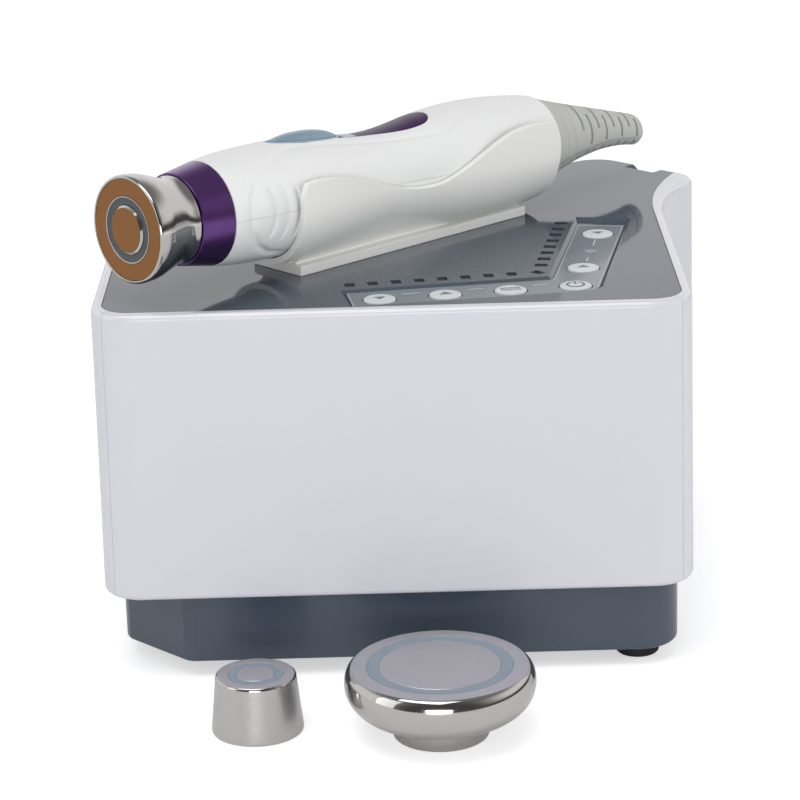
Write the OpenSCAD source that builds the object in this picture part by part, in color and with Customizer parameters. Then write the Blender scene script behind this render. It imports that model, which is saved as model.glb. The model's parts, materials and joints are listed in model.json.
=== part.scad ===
// Facial toning console with a handpiece in its cradle and two spare electrode heads.
// Lengths in millimetres, angles in degrees, +Z up. The set stands on Z = 0, and the
// origin is the middle of the whole set's footprint. Inside the modules the console's
// front face is Y = 0 and its middle is X = 0; placed() moves every node to the origin.

/* [Console housing] */
// Width of the housing across its straight sides
console_w = 210; // [200:1:225]
// Depth of the housing from the front face to the straight back wall
console_d = 194; // [188:1:210]
// Height of the white housing
housing_h = 105.6; // [95:0.1:125]
// Radius of the upright corners
corner_r = 14.5; // [12:0.5:18]
// Thickness of the housing walls
wall = 2.5; // [2:0.1:3]
// Amount the walls lean out from the top edge to the bottom edge
draft = 0.7; // [0:0.1:1]
// Radius rolled over the top and bottom edges
edge_r = 2; // [1:0.1:2.4]
// Width of the white rim around the top panel
rim_w = 3.9; // [3.4:0.1:5]
// Joint line between the front cover and the rest of the housing
seam_gap = 0.15; // [0.05:0.05:0.3]

/* [Rear ear] */
// Length of the flare that leads to the ear, measured from the back wall
flare_len = 70; // [60:1:80]
// Radius of the flare on the outside of the housing
flare_r = 74; // [70:1:90]
// Radius of the flare along the edge of the top panel
panel_flare_r = 133; // [120:1:150]
// Radius of the ear's two outer corners
ear_r = 12.5; // [10:0.5:14]
// Distance of the slanted end face beyond the square corner
ear_reach = 0.6; // [0:0.1:4]
// Radius of the lead groove across the slanted end face
groove_r = 9; // [7:0.5:11]
// Depth of the lead groove
groove_depth = 4; // [3:0.5:6]

/* [Base tray] */
// Height of the tray below the housing
tray_h = 26.2; // [22:0.1:32]
// Setback of the tray behind the housing walls
tray_inset = 4.6; // [3.5:0.1:6]
// Leg length of the tray's corner chamfers
tray_chamfer = 24; // [18:1:28]
// Thickness of the tray walls and floor
tray_wall = 2.6; // [2:0.1:3]
// Diameter of the rubber feet
foot_d = 16; // [12:0.5:18]
// Height that the feet lift the tray
foot_h = 6.2; // [4:0.1:8]
// Diameter of the screws that hold the tray
tray_screw_d = 3.5; // [3:0.1:4]

/* [Top panel] */
// Thickness of the top panel
panel_t = 2.6; // [2.4:0.1:3]
// Drop of the panel below the rim
panel_drop = 0.4; // [0.2:0.1:0.8]
// Clearance between a fitted plate and the edge around it
plate_gap = 0.15; // [0.1:0.05:0.3]
// Depth of the recess that holds the keypad
recess_depth = 1.3; // [1:0.1:1.5]
// Width of the sloping recess walls
recess_slope = 1.6; // [1:0.1:2]
// Thickness of the keypad overlay
overlay_t = 0.5; // [0.3:0.1:0.6]
// Slant of the row of keys against the front face
row_angle = 8.4; // [6:0.2:10]
// Slant of the column of keys against the sides
column_angle = 10.4; // [8:0.2:12]
// Distance from one key position to the next
key_pitch = 23.3; // [22:0.1:24.5]
// Diameter of the key caps
key_d = 11.5; // [10:0.1:12]
// Travel of the keys
key_travel = 0.4; // [0.2:0.05:0.5]
// Distance of the corner key from the right wall
corner_key_x = 40; // [38:0.5:42]
// Distance of the corner key from the front face
corner_key_y = 26; // [24:0.5:28]
// Width of a lamp window along its row
lamp_w = 3.6; // [3:0.1:4]
// Width of a lamp window across its row
lamp_l = 4.6; // [4:0.1:5]
// Distance from one lamp window to the next
lamp_pitch = 8.35; // [8:0.05:8.6]
// Distance of the lower lamp windows from the row of keys
lamp_row_off = 18.1; // [17:0.1:19]
// Distance of the upper lamp windows from the column of keys
lamp_column_off = 15.3; // [14.4:0.1:16.4]

/* [Handpiece] */
// Station of the body's front end, measured from the electrode face
body_start = 33.4; // [33:0.1:35]
// Station of the body's rear end
body_end = 197; // [194:0.5:202]
// Radius of the body at its front end
front_r = 18.8; // [18.4:0.1:19]
// Radius of the front bulge
bulge_r = 20.7; // [20.3:0.1:21]
// Radius of the waist
waist_r = 17; // [16.5:0.1:18]
// Radius of the rear bulge
rear_bulge_r = 21.2; // [20.8:0.1:21.6]
// Radius of the body at its rear end
rear_r = 17.9; // [17.4:0.1:18.4]
// Wall thickness of the two body shells
shell_t = 2.2; // [1.8:0.1:2.6]
// Station where the metal collar starts
collar_start = 20.6; // [20:0.1:22]
// Radius of the collar's front edge
collar_r = 16.5; // [16.2:0.1:17]
// Depth of the three crescent grip grooves on each side
grip_depth = 0.8; // [0.4:0.1:1]
// Depth of the round contour groove that frames the grip
contour_depth = 0.5; // [0.3:0.1:0.7]
// Travel of the handpiece button
button_travel = 1.2; // [0.8:0.1:1.4]
// Half width of the button
button_half_w = 4.2; // [3.8:0.1:4.6]
// Half width of the inlay's round rear end
inlay_half_w = 7.2; // [6.5:0.1:7.6]
// Running clearance around the button
button_gap = 0.3; // [0.2:0.05:0.4]

/* [Electrode heads] */
// Radius of the contact spigot that carries a head
spigot_r = 5; // [4.5:0.1:5.5]
// Length of the spigot in front of the collar
spigot_len = 12; // [10:0.5:13]
// Radial clearance between a head's bore and the spigot
spigot_fit = 0.08; // [0.05:0.01:0.1]
// Radius of the fitted head's face
head_r = 19.1; // [18.6:0.1:19.6]
// Radius of the fitted head's neck
neck_r = 15.5; // [15:0.1:15.8]
// Radius of the fitted head's gold centre disc
disc_r = 8.7; // [8:0.1:9.2]
// Outer radius of the insulating ring on the fitted head
ring_r = 11.9; // [11:0.1:12.5]
// Gap between the head and the collar
head_gap = 0.35; // [0.3:0.05:0.5]
// Radius of the large spare head
large_r = 32.9; // [30:0.1:34]
// Height of the large spare head
large_h = 25.2; // [24:0.1:28]
// Radius of the large spare head's stem
large_stem_r = 16.6; // [15:0.1:17.5]
// Outer radius of the large spare head's insulating ring
large_ring_r = 25.1; // [23:0.1:26]
// Radius of the large spare head's centre disc
large_disc_r = 21; // [19:0.1:21.5]
// Radius of the small spare head's foot
small_foot_r = 15.9; // [15:0.1:17]
// Radius of the small spare head's top
small_top_r = 14; // [13.2:0.1:14.6]
// Height of the small spare head
small_h = 20.5; // [18:0.1:24]
// Outer radius of the small spare head's insulating ring
small_ring_r = 9.5; // [8.6:0.1:10.5]
// Radius of the small spare head's centre disc
small_disc_r = 6.6; // [6:0.1:7]
// Place of the large spare head in front of the console
large_at = [13.1, -47.1];
// Place of the small spare head in front of the console
small_at = [-50.2, -39.6];

/* [Cradle] */
// Clearance between the handpiece and the cradle
cradle_gap = 0.35; // [0.3:0.05:0.5]
// Wall thickness of the cradle
cradle_t = 1.9; // [1.6:0.1:2.2]
// Station of the cradle's front edge
cradle_start = 61; // [60:0.5:64]
// Station of the cradle's rear edge
cradle_end = 192.5; // [188:0.5:193]
// Height of the handpiece axis over the panel at the electrode face
rest_height = 28.6; // [28.2:0.1:30]
// Downward slope of the resting handpiece towards its rear end
rest_pitch = 1.3; // [1:0.1:1.6]
// Distance of the handpiece axis in front of the console's diagonal
rest_shift = 3.4; // [0:0.1:6]
// Distance of the electrode face from the left wall, along the diagonal
rest_back = 17; // [14:0.1:24]
// Width of the cradle's foot plate
foot_plate_w = 26; // [22:0.5:28]
// Thickness of the cradle's foot plate
foot_plate_t = 4.2; // [3.5:0.1:4.6]

/* [Strain relief] */
// Length of the flexible boot behind the body
boot_len = 60; // [50:1:70]
// Radius of the boot's small end
boot_end_r = 6.4; // [6:0.1:7.5]
// Radius of the lead hole through the boot
lead_r = 3.1; // [2.5:0.1:3.5]
// Droop of the boot's end
boot_droop = 4.8; // [0:0.1:6]
// Width of the flex slots in the boot
slot_w = 1.3; // [0.8:0.1:1.6]

/* [Rear sockets] */
// Radius of the handpiece socket's shell
socket_r = 8; // [7:0.1:9]
// Distance that the socket stands out of the back wall
socket_out = 8; // [6:0.5:10]
// Width of the mains inlet's mouth
inlet_w = 24; // [22:0.5:26]
// Height of the mains inlet's mouth
inlet_h = 16; // [14:0.5:18]

/* [Hidden] */

$fn = 96;
ROOT2 = sqrt(2);
TINY = 0.01;
OVER = 40;          // reach of a cutter beyond what it cuts

// Heights of the console, from the table up
tray_z = foot_h;
housing_z = tray_z + tray_h;
top_z = housing_z + housing_h;
panel_z = top_z - panel_drop;
seat_z = panel_z - panel_t;
recess_z = panel_z - recess_depth;
ledge_t = 2;
flange_t = 2.4;

// Plan of the console: the ear is symmetric about the diagonal through the back corner
side_x = console_w/2;
flare_y = console_d - flare_len;
flare_x = side_x - flare_len;
cut_sum = side_x + console_d + ear_reach*ROOT2;
flare_c = [side_x + flare_r, flare_y];
fillet_s = cut_sum - ear_r*ROOT2 - flare_c.x - flare_c.y;
fillet_d = flare_r + ear_r;
fillet_u = (fillet_s - sqrt(2*fillet_d*fillet_d - fillet_s*fillet_s))/2;
fillet_c = flare_c + [fillet_u, fillet_s - fillet_u];
fillet_turn = atan2(flare_c.y - fillet_c.y, flare_c.x - fillet_c.x);
ear_max_x = fillet_c.x + ear_r + draft;
ear_max_y = fillet_c.x - side_x + console_d + ear_r + draft;

// Middle of the whole set's footprint
mid_x = (ear_max_x - side_x - draft)/2;
mid_y = (ear_max_y + large_at.y - large_r)/2;

// Key and lamp positions
row_dir = [-cos(row_angle), -sin(row_angle)];
column_dir = [sin(column_angle), cos(column_angle)];
key_0 = [side_x - corner_key_x, corner_key_y];
stem_r = 1.7;
key_lip = 0.9;
key_lip_t = 0.7;
key_board_t = 1.6;
key_board_z = seat_z - 6.6;
switch_h = 2.1;
switch_w = 5;

// Handpiece frame: x runs from the electrode face to the rear, z is up
rest_angle = atan2(console_d, console_w);
hand_at = [-side_x, 0] + rest_back*[cos(rest_angle), sin(rest_angle)]
    + rest_shift*[sin(rest_angle), -cos(rest_angle)];
hand_z = panel_z + rest_height;

// Body radius along the handpiece, front to rear
BULGE_X = 64;
WAIST_X = 110;
REAR_X = 160;
function ease(t) = (1 - cos(180*t))/2;
function quarter(t) = sqrt(max(0, 1 - (1 - t)*(1 - t)));
function body_r(x) =
    x < BULGE_X ? front_r + (bulge_r - front_r)*quarter((x - body_start)/(BULGE_X - body_start)) :
    x < WAIST_X ? bulge_r + (waist_r - bulge_r)*ease((x - BULGE_X)/(WAIST_X - BULGE_X)) :
    x < REAR_X ? waist_r + (rear_bulge_r - waist_r)*ease((x - WAIST_X)/(REAR_X - WAIST_X)) :
    rear_bulge_r - (rear_bulge_r - rear_r)*pow((x - REAR_X)/(body_end - REAR_X), 2);
function body_line(x0, x1, grow, n) =
    [for (i = [0:n]) let (x = x0 + (x1 - x0)*i/n) [x, body_r(x) + grow]];

// Height of the cradle's wavy edge over the handpiece axis
function cradle_edge(x) =
    x < 118 ? -1.9 + 11.7*pow(cos(90*min(1, max(0, (x - 70)/48))), 2) :
    x < 174 ? -1.9 + 15.1*ease((x - 124)/50*(x > 124 ? 1 : 0)) :
    13.2 - 1.9*pow((x - 174)/(cradle_end - 174), 2);

function arc(c, r, a0, a1, n) =
    [for (i = [0:n]) let (a = a0 + (a1 - a0)*i/n) c + r*[cos(a), sin(a)]];
function swap(p) = [p.y - console_d + side_x, p.x + console_d - side_x];

// Plan of the housing, moved inwards by the inset
function plan(inset) = concat(
    arc([corner_r - side_x, corner_r], corner_r - inset, 180, 270, 9),
    arc([side_x - corner_r, corner_r], corner_r - inset, 270, 360, 9),
    ear_half(inset),
    [for (i = [len(ear_half(inset)) - 1:-1:0]) swap(ear_half(inset)[i])],
    arc([corner_r - side_x, console_d - corner_r], corner_r - inset, 90, 180, 8));
function ear_half(inset) = concat(
    arc(flare_c, flare_r + inset, 180, 180 + fillet_turn, 7),
    [for (i = [1:7]) let (a = fillet_turn + (45 - fillet_turn)*i/7)
        fillet_c + (ear_r - inset)*[cos(a), sin(a)]]);

// Opening of the rim that the top panel lies in, open towards the back
function window(gap) = let (x = side_x - rim_w + gap, y = rim_w - gap,
    r = corner_r - rim_w + gap, turn = 40) concat(
    arc([r - x, y + r], r, 180, 270, 12),
    arc([x - r, y + r], r, 270, 360, 12),
    arc([x + panel_flare_r - gap, flare_y], panel_flare_r - gap, 180, 180 - turn, 10),
    [[x + OVER, console_d + 2*OVER], [-x, console_d + 2*OVER]]);

// Plan of the tray: two chamfered corners on the diagonal, two round ones
function tray_plan(inset) = let (x = side_x - tray_inset - inset, y0 = tray_inset + inset,
    y1 = console_d - tray_inset - inset, c = tray_chamfer - inset*(2 - ROOT2),
    r = corner_r - inset) concat(
    [[-x, y0 + c], [-x + c, y0]],
    arc([x - r, y0 + r], r, 270, 360, 10),
    [[x, y1 - c], [x - c, y1]],
    arc([r - x, y1 - r], r, 90, 180, 10));

module placed() translate([-mid_x, -mid_y, 0]) children();
module at_hand() placed() translate([hand_at.x, hand_at.y, hand_z])
    rotate([0, rest_pitch, rest_angle]) children();
module along_x() rotate([0, 90, 0]) children();
module slab(points, z0, z1) translate([0, 0, z0]) linear_extrude(z1 - z0) polygon(points);

// Solid through a stack of rings that all have the same number of points. Its ends are closed by
// triangles that meet in the hub, a place in the plan that sees the whole outline.
function middle(ring) = [for (p = ring) 1]*ring/len(ring);
module loft(rings, hub = undef) {
    n = len(rings[0]);
    m = len(rings);
    ends = [for (ring = [rings[0], rings[m - 1]])
        hub == undef ? middle(ring) : [hub.x, hub.y, ring[0].z]];
    polyhedron(
        points = concat([for (ring = rings) for (p = ring) p], ends),
        faces = concat(
            [for (i = [0:n - 1]) [m*n, i, (i + 1) % n]],
            [for (k = [0:m - 2]) for (i = [0:n - 1])
                [k*n + i, (k + 1)*n + i, (k + 1)*n + (i + 1) % n, k*n + (i + 1) % n]],
            [for (i = [0:n - 1]) [m*n + 1, (m - 1)*n + (i + 1) % n, (m - 1)*n + i]]));
}
function level(points, z) = [for (p = points) [p.x, p.y, z]];

// ---------------------------------------------------------------- console housing
module housing_block() loft(concat(
    [for (a = [0:30:90]) level(plan(edge_r*(1 - sin(a)) - draft),
        housing_z + edge_r*(1 - cos(a)))],
    [for (a = [0:30:90]) level(plan(edge_r*(1 - cos(a))),
        top_z - edge_r*(1 - sin(a)))]), [0, console_d/2]);

module housing() difference() {
    housing_block();
    slab(plan(wall), housing_z - 1, seat_z - ledge_t);
    intersection() {
        slab(plan(rim_w + wall + 1), housing_z, top_z + 1);
        slab(window(-wall), housing_z - 1, top_z + 2);
    }
    slab(window(plate_gap), seat_z, top_z + 1);
    lead_groove();
}

// Groove over the ear's slanted end face, where the handpiece lead drops behind the console
module lead_groove() {
    ear_mid = [cut_sum/2 + (side_x - console_d)/2, cut_sum/2 - (side_x - console_d)/2];
    translate([ear_mid.x, ear_mid.y, panel_z + groove_r - groove_depth])
        rotate([0, 90, 45]) translate([0, 0, -6.5]) linear_extrude(OVER)
        polygon(concat(arc([0, 0], groove_r, -90, 90, 12),
            [[-OVER, groove_r], [-OVER, -groove_r]]));
}

// Part of the plan that belongs to the front cover: it ends at 45 degrees in both corners
function front_zone(gap) = let (x = side_x - corner_r, y = corner_r) [
    [-x, y - gap], [x, y - gap],
    [x + OVER - gap, y - OVER], [-x - OVER + gap, y - OVER]];

// Screw boss inside a wall, with a web that ties it to the wall; dir points to the wall
module wall_boss(p, dir) difference() {
    z0 = housing_z + flange_t + plate_gap;
    reach = boss_in - 1;
    union() {
        translate([p.x, p.y, z0]) cylinder(r = boss_r, h = wall_boss_h);
        translate([p.x, p.y, z0 + wall_boss_h/2])
            translate(dir*reach/2)
            cube([abs(dir.x)*reach + 2*abs(dir.y), abs(dir.y)*reach + 2*abs(dir.x),
                wall_boss_h], center = true);
    }
    translate([p.x, p.y, z0 - 1]) cylinder(r = tray_screw_d/2 + 0.05, h = boss_grip + 2);
}

module front_cover() color("white") placed() {
    intersection() {
        housing();
        slab(front_zone(seam_gap), housing_z - 1, top_z + 1);
    }
    for (p = cover_bosses) wall_boss(p, [0, -1]);
}

vent_n = 9;
vent_pitch = 6;
vent_w = 2.6;
vent_len = 26;
inlet_at = [-58, housing_z + 28];
socket_at = [-12, housing_z + 28];
inlet_flange = 4;
module housing_shell() color("white") placed() {
    wall_boss(side_bosses[0], [1, 0]);
    wall_boss(side_bosses[1], [-1, 0]);
    wall_boss(back_bosses[0], [0, 1]);
    wall_boss(back_bosses[1], [0, 1]);
    housing_walls();
}
module housing_walls() difference() {
    housing();
    slab(front_zone(0), housing_z - 1, top_z + 1);
    for (i = [0:vent_n - 1])
        translate([inlet_at.x + 23 + (i - (vent_n - 1)/2)*vent_pitch, console_d, top_z - 44])
            cube([vent_w, 4*wall, vent_len], center = true);
    translate([inlet_at.x, console_d, inlet_at.y])
        cube([inlet_w + 4, 4*wall, inlet_h + 4], center = true);
    translate([socket_at.x, console_d, socket_at.y]) rotate([90, 0, 0])
        cylinder(r = socket_r + plate_gap, h = 4*wall, center = true);
}

// ---------------------------------------------------------------- top panel and keys
row_len = 3*key_pitch + 10.5;
column_len = 3*key_pitch + 20;
overlay_len = column_len - 6.5;
row_in = 10.5;
row_out = 7.4;
column_in = 9.2;
column_out = 8.6;
row_perp = [row_dir.y, -row_dir.x];
column_perp = [-column_dir.y, column_dir.x];
function row_at(s, t) = key_0 + s*row_dir + t*row_perp;
function column_at(s, t) = key_0 + s*column_dir + t*column_perp;
// Crossing of a line beside the row and a line beside the column
function crossing(a, b) = let (d = row_dir.x*column_dir.y - row_dir.y*column_dir.x,
    q = column_at(0, b) - row_at(0, a),
    s = (q.x*column_dir.y - q.y*column_dir.x)/d) row_at(s, a);
// L outline: how far it runs along the row and column, and its edges inside and outside
function ell(len_r, len_c, in_r, in_c, out_r, out_c) = [
    row_at(len_r, in_r), row_at(len_r, -out_r), crossing(-out_r, -out_c),
    column_at(len_c, -out_c), column_at(len_c, in_c), crossing(in_r, in_c)];
function recess(grow, len_c) = ell(row_len + grow, len_c + grow, row_in + grow,
    column_in + grow, row_out + grow, column_out + grow);

lamp_n = 8;
lamp_lead = 1.2;     // extra distance of the corner lamp
corner_lamp = crossing(lamp_row_off, lamp_column_off);
row_lamps = [for (i = [1:lamp_n])
    [corner_lamp + (i*lamp_pitch + lamp_lead)*row_dir, row_angle]];
column_lamps = [for (i = [1:lamp_n])
    [corner_lamp + (i*lamp_pitch + lamp_lead)*column_dir, 90 - column_angle]];
lamps = concat(row_lamps, [[corner_lamp, 45]], column_lamps);
module at_lamps() for (lamp = lamps) translate(lamp[0]) rotate(lamp[1]) children();

keys = [for (i = [3, 2, 1]) row_at(i*key_pitch, 0)];
side_keys = [for (i = [0, 1, 3]) column_at(i*key_pitch, 0)];
key_places = concat(keys, side_keys);
module at_keys() for (p = key_places) translate(p) children();

post_r = 3;
post_places = [row_at(2.5*key_pitch, 4.5), row_at(0.5*key_pitch, 4.5),
    column_at(0.5*key_pitch, 3.5), column_at(2.5*key_pitch, 0)];
cradle_screw_r = 1.6;
cradle_screw_x = [84, 164];
module at_cradle_screws() translate([hand_at.x, hand_at.y, 0]) rotate(rest_angle)
    for (x = cradle_screw_x) translate([x, 0, 0]) children();

module panel_plate() difference() {
    intersection() {
        housing_block();
        slab(window(0), seat_z, panel_z);
    }
    loft([level(recess(0, column_len), recess_z),
        level(recess(recess_slope, column_len), panel_z + TINY)], key_0);
    lead_groove();
}
module top_panel() color([0.28, 0.32, 0.37]) placed() difference() {
    union() {
        panel_plate();
        for (p = post_places) translate([p.x, p.y, key_board_z + key_board_t])
            cylinder(r = post_r, h = seat_z - key_board_z - key_board_t + TINY);
    }
    translate([0, 0, seat_z - 1]) {
        at_keys() cylinder(r = key_d/2 + plate_gap*2, h = 2*panel_t);
        at_lamps() translate([-lamp_w/2, -lamp_l/2, 0]) cube([lamp_w, lamp_l, 2*panel_t]);
        at_cradle_screws() cylinder(r = cradle_screw_r + plate_gap, h = 2*panel_t, $fn = 32);
    }
}

module keypad_overlay() color([0.45, 0.49, 0.54]) placed() difference() {
    slab(recess(-plate_gap, overlay_len), recess_z, recess_z + overlay_t);
    translate([0, 0, recess_z - 1]) linear_extrude(4)
        at_keys() circle(r = key_d/2 + plate_gap*2);
}

// Key cap with a lip below the panel that holds it in, and a stem down to its switch
module key(p) color("gainsboro") placed() translate([p.x, p.y, 0]) {
    cap_z = seat_z - plate_gap;
    translate([0, 0, cap_z - key_lip_t]) cylinder(r = key_d/2 + key_lip, h = key_lip_t);
    translate([0, 0, cap_z - key_lip_t])
        cylinder(r = key_d/2, h = recess_z + overlay_t + 0.7 - cap_z + key_lip_t);
    stem_z = key_board_z + key_board_t + switch_h + key_travel + 0.1;
    translate([0, 0, stem_z]) cylinder(r = stem_r, h = cap_z - stem_z, $fn = 32);
}
module key_down() key(keys[0]);
module key_up() key(keys[1]);
module key_mode() key(keys[2]);
module key_power() key(side_keys[0]);
module key_next() key(side_keys[1]);
module key_start() key(side_keys[2]);

module lamp_guides() color([0.2, 0.15, 0.14]) placed()
    translate([0, 0, key_board_z + key_board_t])
        linear_extrude(panel_z - 0.8 - key_board_z - key_board_t)
            at_lamps() square([lamp_w, lamp_l] - plate_gap*[2, 2], center = true);

module key_board() color("darkgreen") placed() slab(
    ell(row_len - 2, column_len - 10, lamp_row_off + 3.5, lamp_column_off + 3.5,
        row_out - 2, column_out - 2), key_board_z, key_board_z + key_board_t);

module key_switches() color("dimgray") placed()
    translate([0, 0, key_board_z + key_board_t]) at_keys() {
        translate([-switch_w/2, -switch_w/2, 0]) cube([switch_w, switch_w, switch_h - 0.6]);
        cylinder(r = 1.6, h = switch_h, $fn = 32);
    }

// ---------------------------------------------------------------- base tray and inside
foot_places = [[side_x - 19, 20], [44 - side_x, 36], [19 - side_x, console_d - 22],
    [side_x - 44, console_d - 34]];
boss_r = 4.5;
boss_in = tray_inset + tray_wall + boss_r - 0.5;
boss_h = housing_z + flange_t - tray_z;
boss_grip = 12;
wall_boss_h = 24;
cover_bosses = [[-58, boss_in], [58, boss_in]];
side_bosses = [[side_x - boss_in, 62], [boss_in - side_x, 92]];
back_bosses = [[-30, console_d - boss_in], [40, console_d - boss_in]];
tray_bosses = concat(cover_bosses, side_bosses, back_bosses);
board_t = 1.6;
standoff_h = 8;
standoff_r = 3;
board_z = tray_z + tray_wall + standoff_h;
supply_at = [-72, 78];
supply_size = [62, 88];
output_at = [10, 40];
output_size = [74, 96];
hole_in = 4;
function corners(at, size) = [for (i = [0, 1]) for (k = [0, 1])
    at + [hole_in + i*(size.x - 2*hole_in), hole_in + k*(size.y - 2*hole_in)]];
board_holes = concat(corners(supply_at, supply_size), corners(output_at, output_size));
core_at = [-60, 36];
core_size = [48, 34, 40];

module base_tray() color([0.27, 0.31, 0.36]) placed() difference() {
    union() {
        difference() {
            union() {
                loft([level(tray_plan(1.4), tray_z), level(tray_plan(0.4), tray_z + 0.5),
                    level(tray_plan(0), tray_z + 1.4), level(tray_plan(0), housing_z)]);
                slab(plan(wall + plate_gap), housing_z, housing_z + flange_t);
            }
            slab(tray_plan(tray_wall), tray_z + tray_wall, housing_z + flange_t + 1);
        }
        for (p = board_holes) translate([p.x, p.y, tray_z + 1])
            cylinder(r = standoff_r, h = board_z - tray_z - 1);
        for (p = tray_bosses) translate([p.x, p.y, tray_z + 1])
            cylinder(r = boss_r, h = boss_h - 1);
    }
    for (p = tray_bosses) translate([p.x, p.y, tray_z - 1]) {
        cylinder(r = tray_screw_d/2 + 0.2, h = boss_h + 2);
        cylinder(r = tray_screw_d + 0.2, h = 4);
    }
    for (p = board_holes) translate([p.x, p.y, board_z - 6]) cylinder(r = 1.25, h = 7);
}

module feet() color([0.08, 0.08, 0.08]) placed() for (p = foot_places)
    translate([p.x, p.y, 0]) rotate_extrude() polygon([[0, 0], [foot_d/2 - 1.2, 0],
        [foot_d/2 - 0.4, 0.4], [foot_d/2, 1.2], [foot_d/2, foot_h], [0, foot_h]]);

module tray_screws() color("silver") placed() for (p = tray_bosses)
    translate([p.x, p.y, tray_z + 0.4]) {
        cylinder(r = tray_screw_d, h = 2.6, $fn = 48);
        cylinder(r = tray_screw_d/2, h = boss_h + boss_grip - 1, $fn = 48);
    }

module board(at, size) difference() {
    translate([at.x, at.y, board_z]) cube([size.x, size.y, board_t]);
    for (p = corners(at, size)) translate([p.x, p.y, board_z - 1]) cylinder(r = 1.7, h = 4);
}
module supply_board() color("darkgreen") placed() {
    board(supply_at, supply_size);
    for (i = [0:1]) translate([supply_at.x + 16 + 18*i, supply_at.y + 60, board_z + board_t])
        cylinder(r = 8, h = 26);
    translate([supply_at.x + 8, supply_at.y + 12, board_z + board_t]) cube([44, 22, 18]);
}
module output_board() color("darkgreen") placed() {
    board(output_at, output_size);
    translate([output_at.x + 12, output_at.y + 12, board_z + board_t]) cube([26, 26, 4]);
    translate([output_at.x + 54, output_at.y + 26, board_z + board_t])
        cylinder(r = 11, h = 12);
}
module board_screws() color("silver") placed() for (p = board_holes)
    translate([p.x, p.y, board_z + board_t]) {
        cylinder(r = 2.6, h = 1.8, $fn = 32);
        translate([0, 0, -board_t - 5]) cylinder(r = 1.2, h = board_t + 5.5, $fn = 32);
    }
// Laminated core with its winding, standing on the tray floor
module transformer() color("peru") placed()
    translate([core_at.x, core_at.y, tray_z + tray_wall]) {
        translate([0, 0, 6]) cube([core_size.x, core_size.y, core_size.z - 6]);
        translate([-5, 2, 0]) cube([core_size.x + 10, core_size.y - 4, 6]);
        translate([6, -4, 12]) cube([core_size.x - 12, core_size.y + 8, core_size.z - 20]);
    }
sink_n = 7;
module heat_sink() color("silver") placed()
    translate([output_at.x + 8, output_at.y + 52, board_z + board_t]) {
        cube([58, 32, 3]);
        for (i = [0:sink_n - 1]) translate([i*(58 - 2)/(sink_n - 1), 0, 2]) cube([2, 32, 22]);
    }

// ---------------------------------------------------------------- sockets in the back wall
pin_back = 5.4;      // distance of the contact tips behind a socket's mouth
inlet_depth = 18;
module mains_inlet() color([0.1, 0.1, 0.1]) placed()
    translate([inlet_at.x, console_d + draft + 0.2, inlet_at.y]) difference() {
        union() {
            translate([-inlet_w/2 - inlet_flange, 0, -inlet_h/2 - inlet_flange])
                cube([inlet_w + 2*inlet_flange, 2, inlet_h + 2*inlet_flange]);
            translate([-inlet_w/2 - 1.7, -inlet_depth, -inlet_h/2 - 1.7])
                cube([inlet_w + 3.4, inlet_depth + 1, inlet_h + 3.4]);
        }
        translate([0, 3, 0]) rotate([90, 0, 0]) linear_extrude(inlet_depth + 1) polygon([
            [-inlet_w/2, -inlet_h/2], [inlet_w/2, -inlet_h/2], [inlet_w/2, inlet_h/2 - 4],
            [inlet_w/2 - 4, inlet_h/2], [4 - inlet_w/2, inlet_h/2],
            [-inlet_w/2, inlet_h/2 - 4]]);
    }
module inlet_pins() color("gold") placed()
    for (p = [[-7, -2], [0, 2], [7, -2]])
        translate([inlet_at.x + p.x - 1, console_d + draft + 2.2 - inlet_depth,
            inlet_at.y + p.y - 2]) cube([2, inlet_depth - pin_back, 4]);

nut_t = 2.5;
module socket_at_wall() placed() translate([socket_at.x, console_d, socket_at.y])
    rotate([-90, 0, 0]) children();
module handpiece_socket() color("silver") socket_at_wall() difference() {
    union() {
        translate([0, 0, -12]) cylinder(r = socket_r, h = 12 + socket_out);
        translate([0, 0, draft + 0.2]) cylinder(r = socket_r + 2, h = 2);
    }
    translate([0, 0, -9]) cylinder(r = socket_r - 1.4, h = 9 + socket_out + 1);
}
module socket_nut() color("silver") socket_at_wall() translate([0, 0, -wall - nut_t - 0.2])
    difference() {
        cylinder(r = socket_r + 3, h = nut_t, $fn = 6);
        translate([0, 0, -1]) cylinder(r = socket_r + 0.05, h = nut_t + 2);
    }
module socket_pins() color("gold") socket_at_wall() for (i = [0:4])
    rotate(72*i) translate([3.8, 0, -9]) cylinder(r = 0.8, h = 9 + socket_out - pin_back, $fn = 24);

// ---------------------------------------------------------------- cradle
function cradle_r(x) = body_r(x) + cradle_gap;
cradle_n = 26;
function cradle_line(grow) = body_line(cradle_start, cradle_end, cradle_gap + grow, cradle_n);
function mirror_y(points) = [for (i = [len(points) - 1:-1:0]) [points[i].x, -points[i].y]];
wall_top = 18;       // height up to which the trough is drawn before its edge is cut

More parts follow.
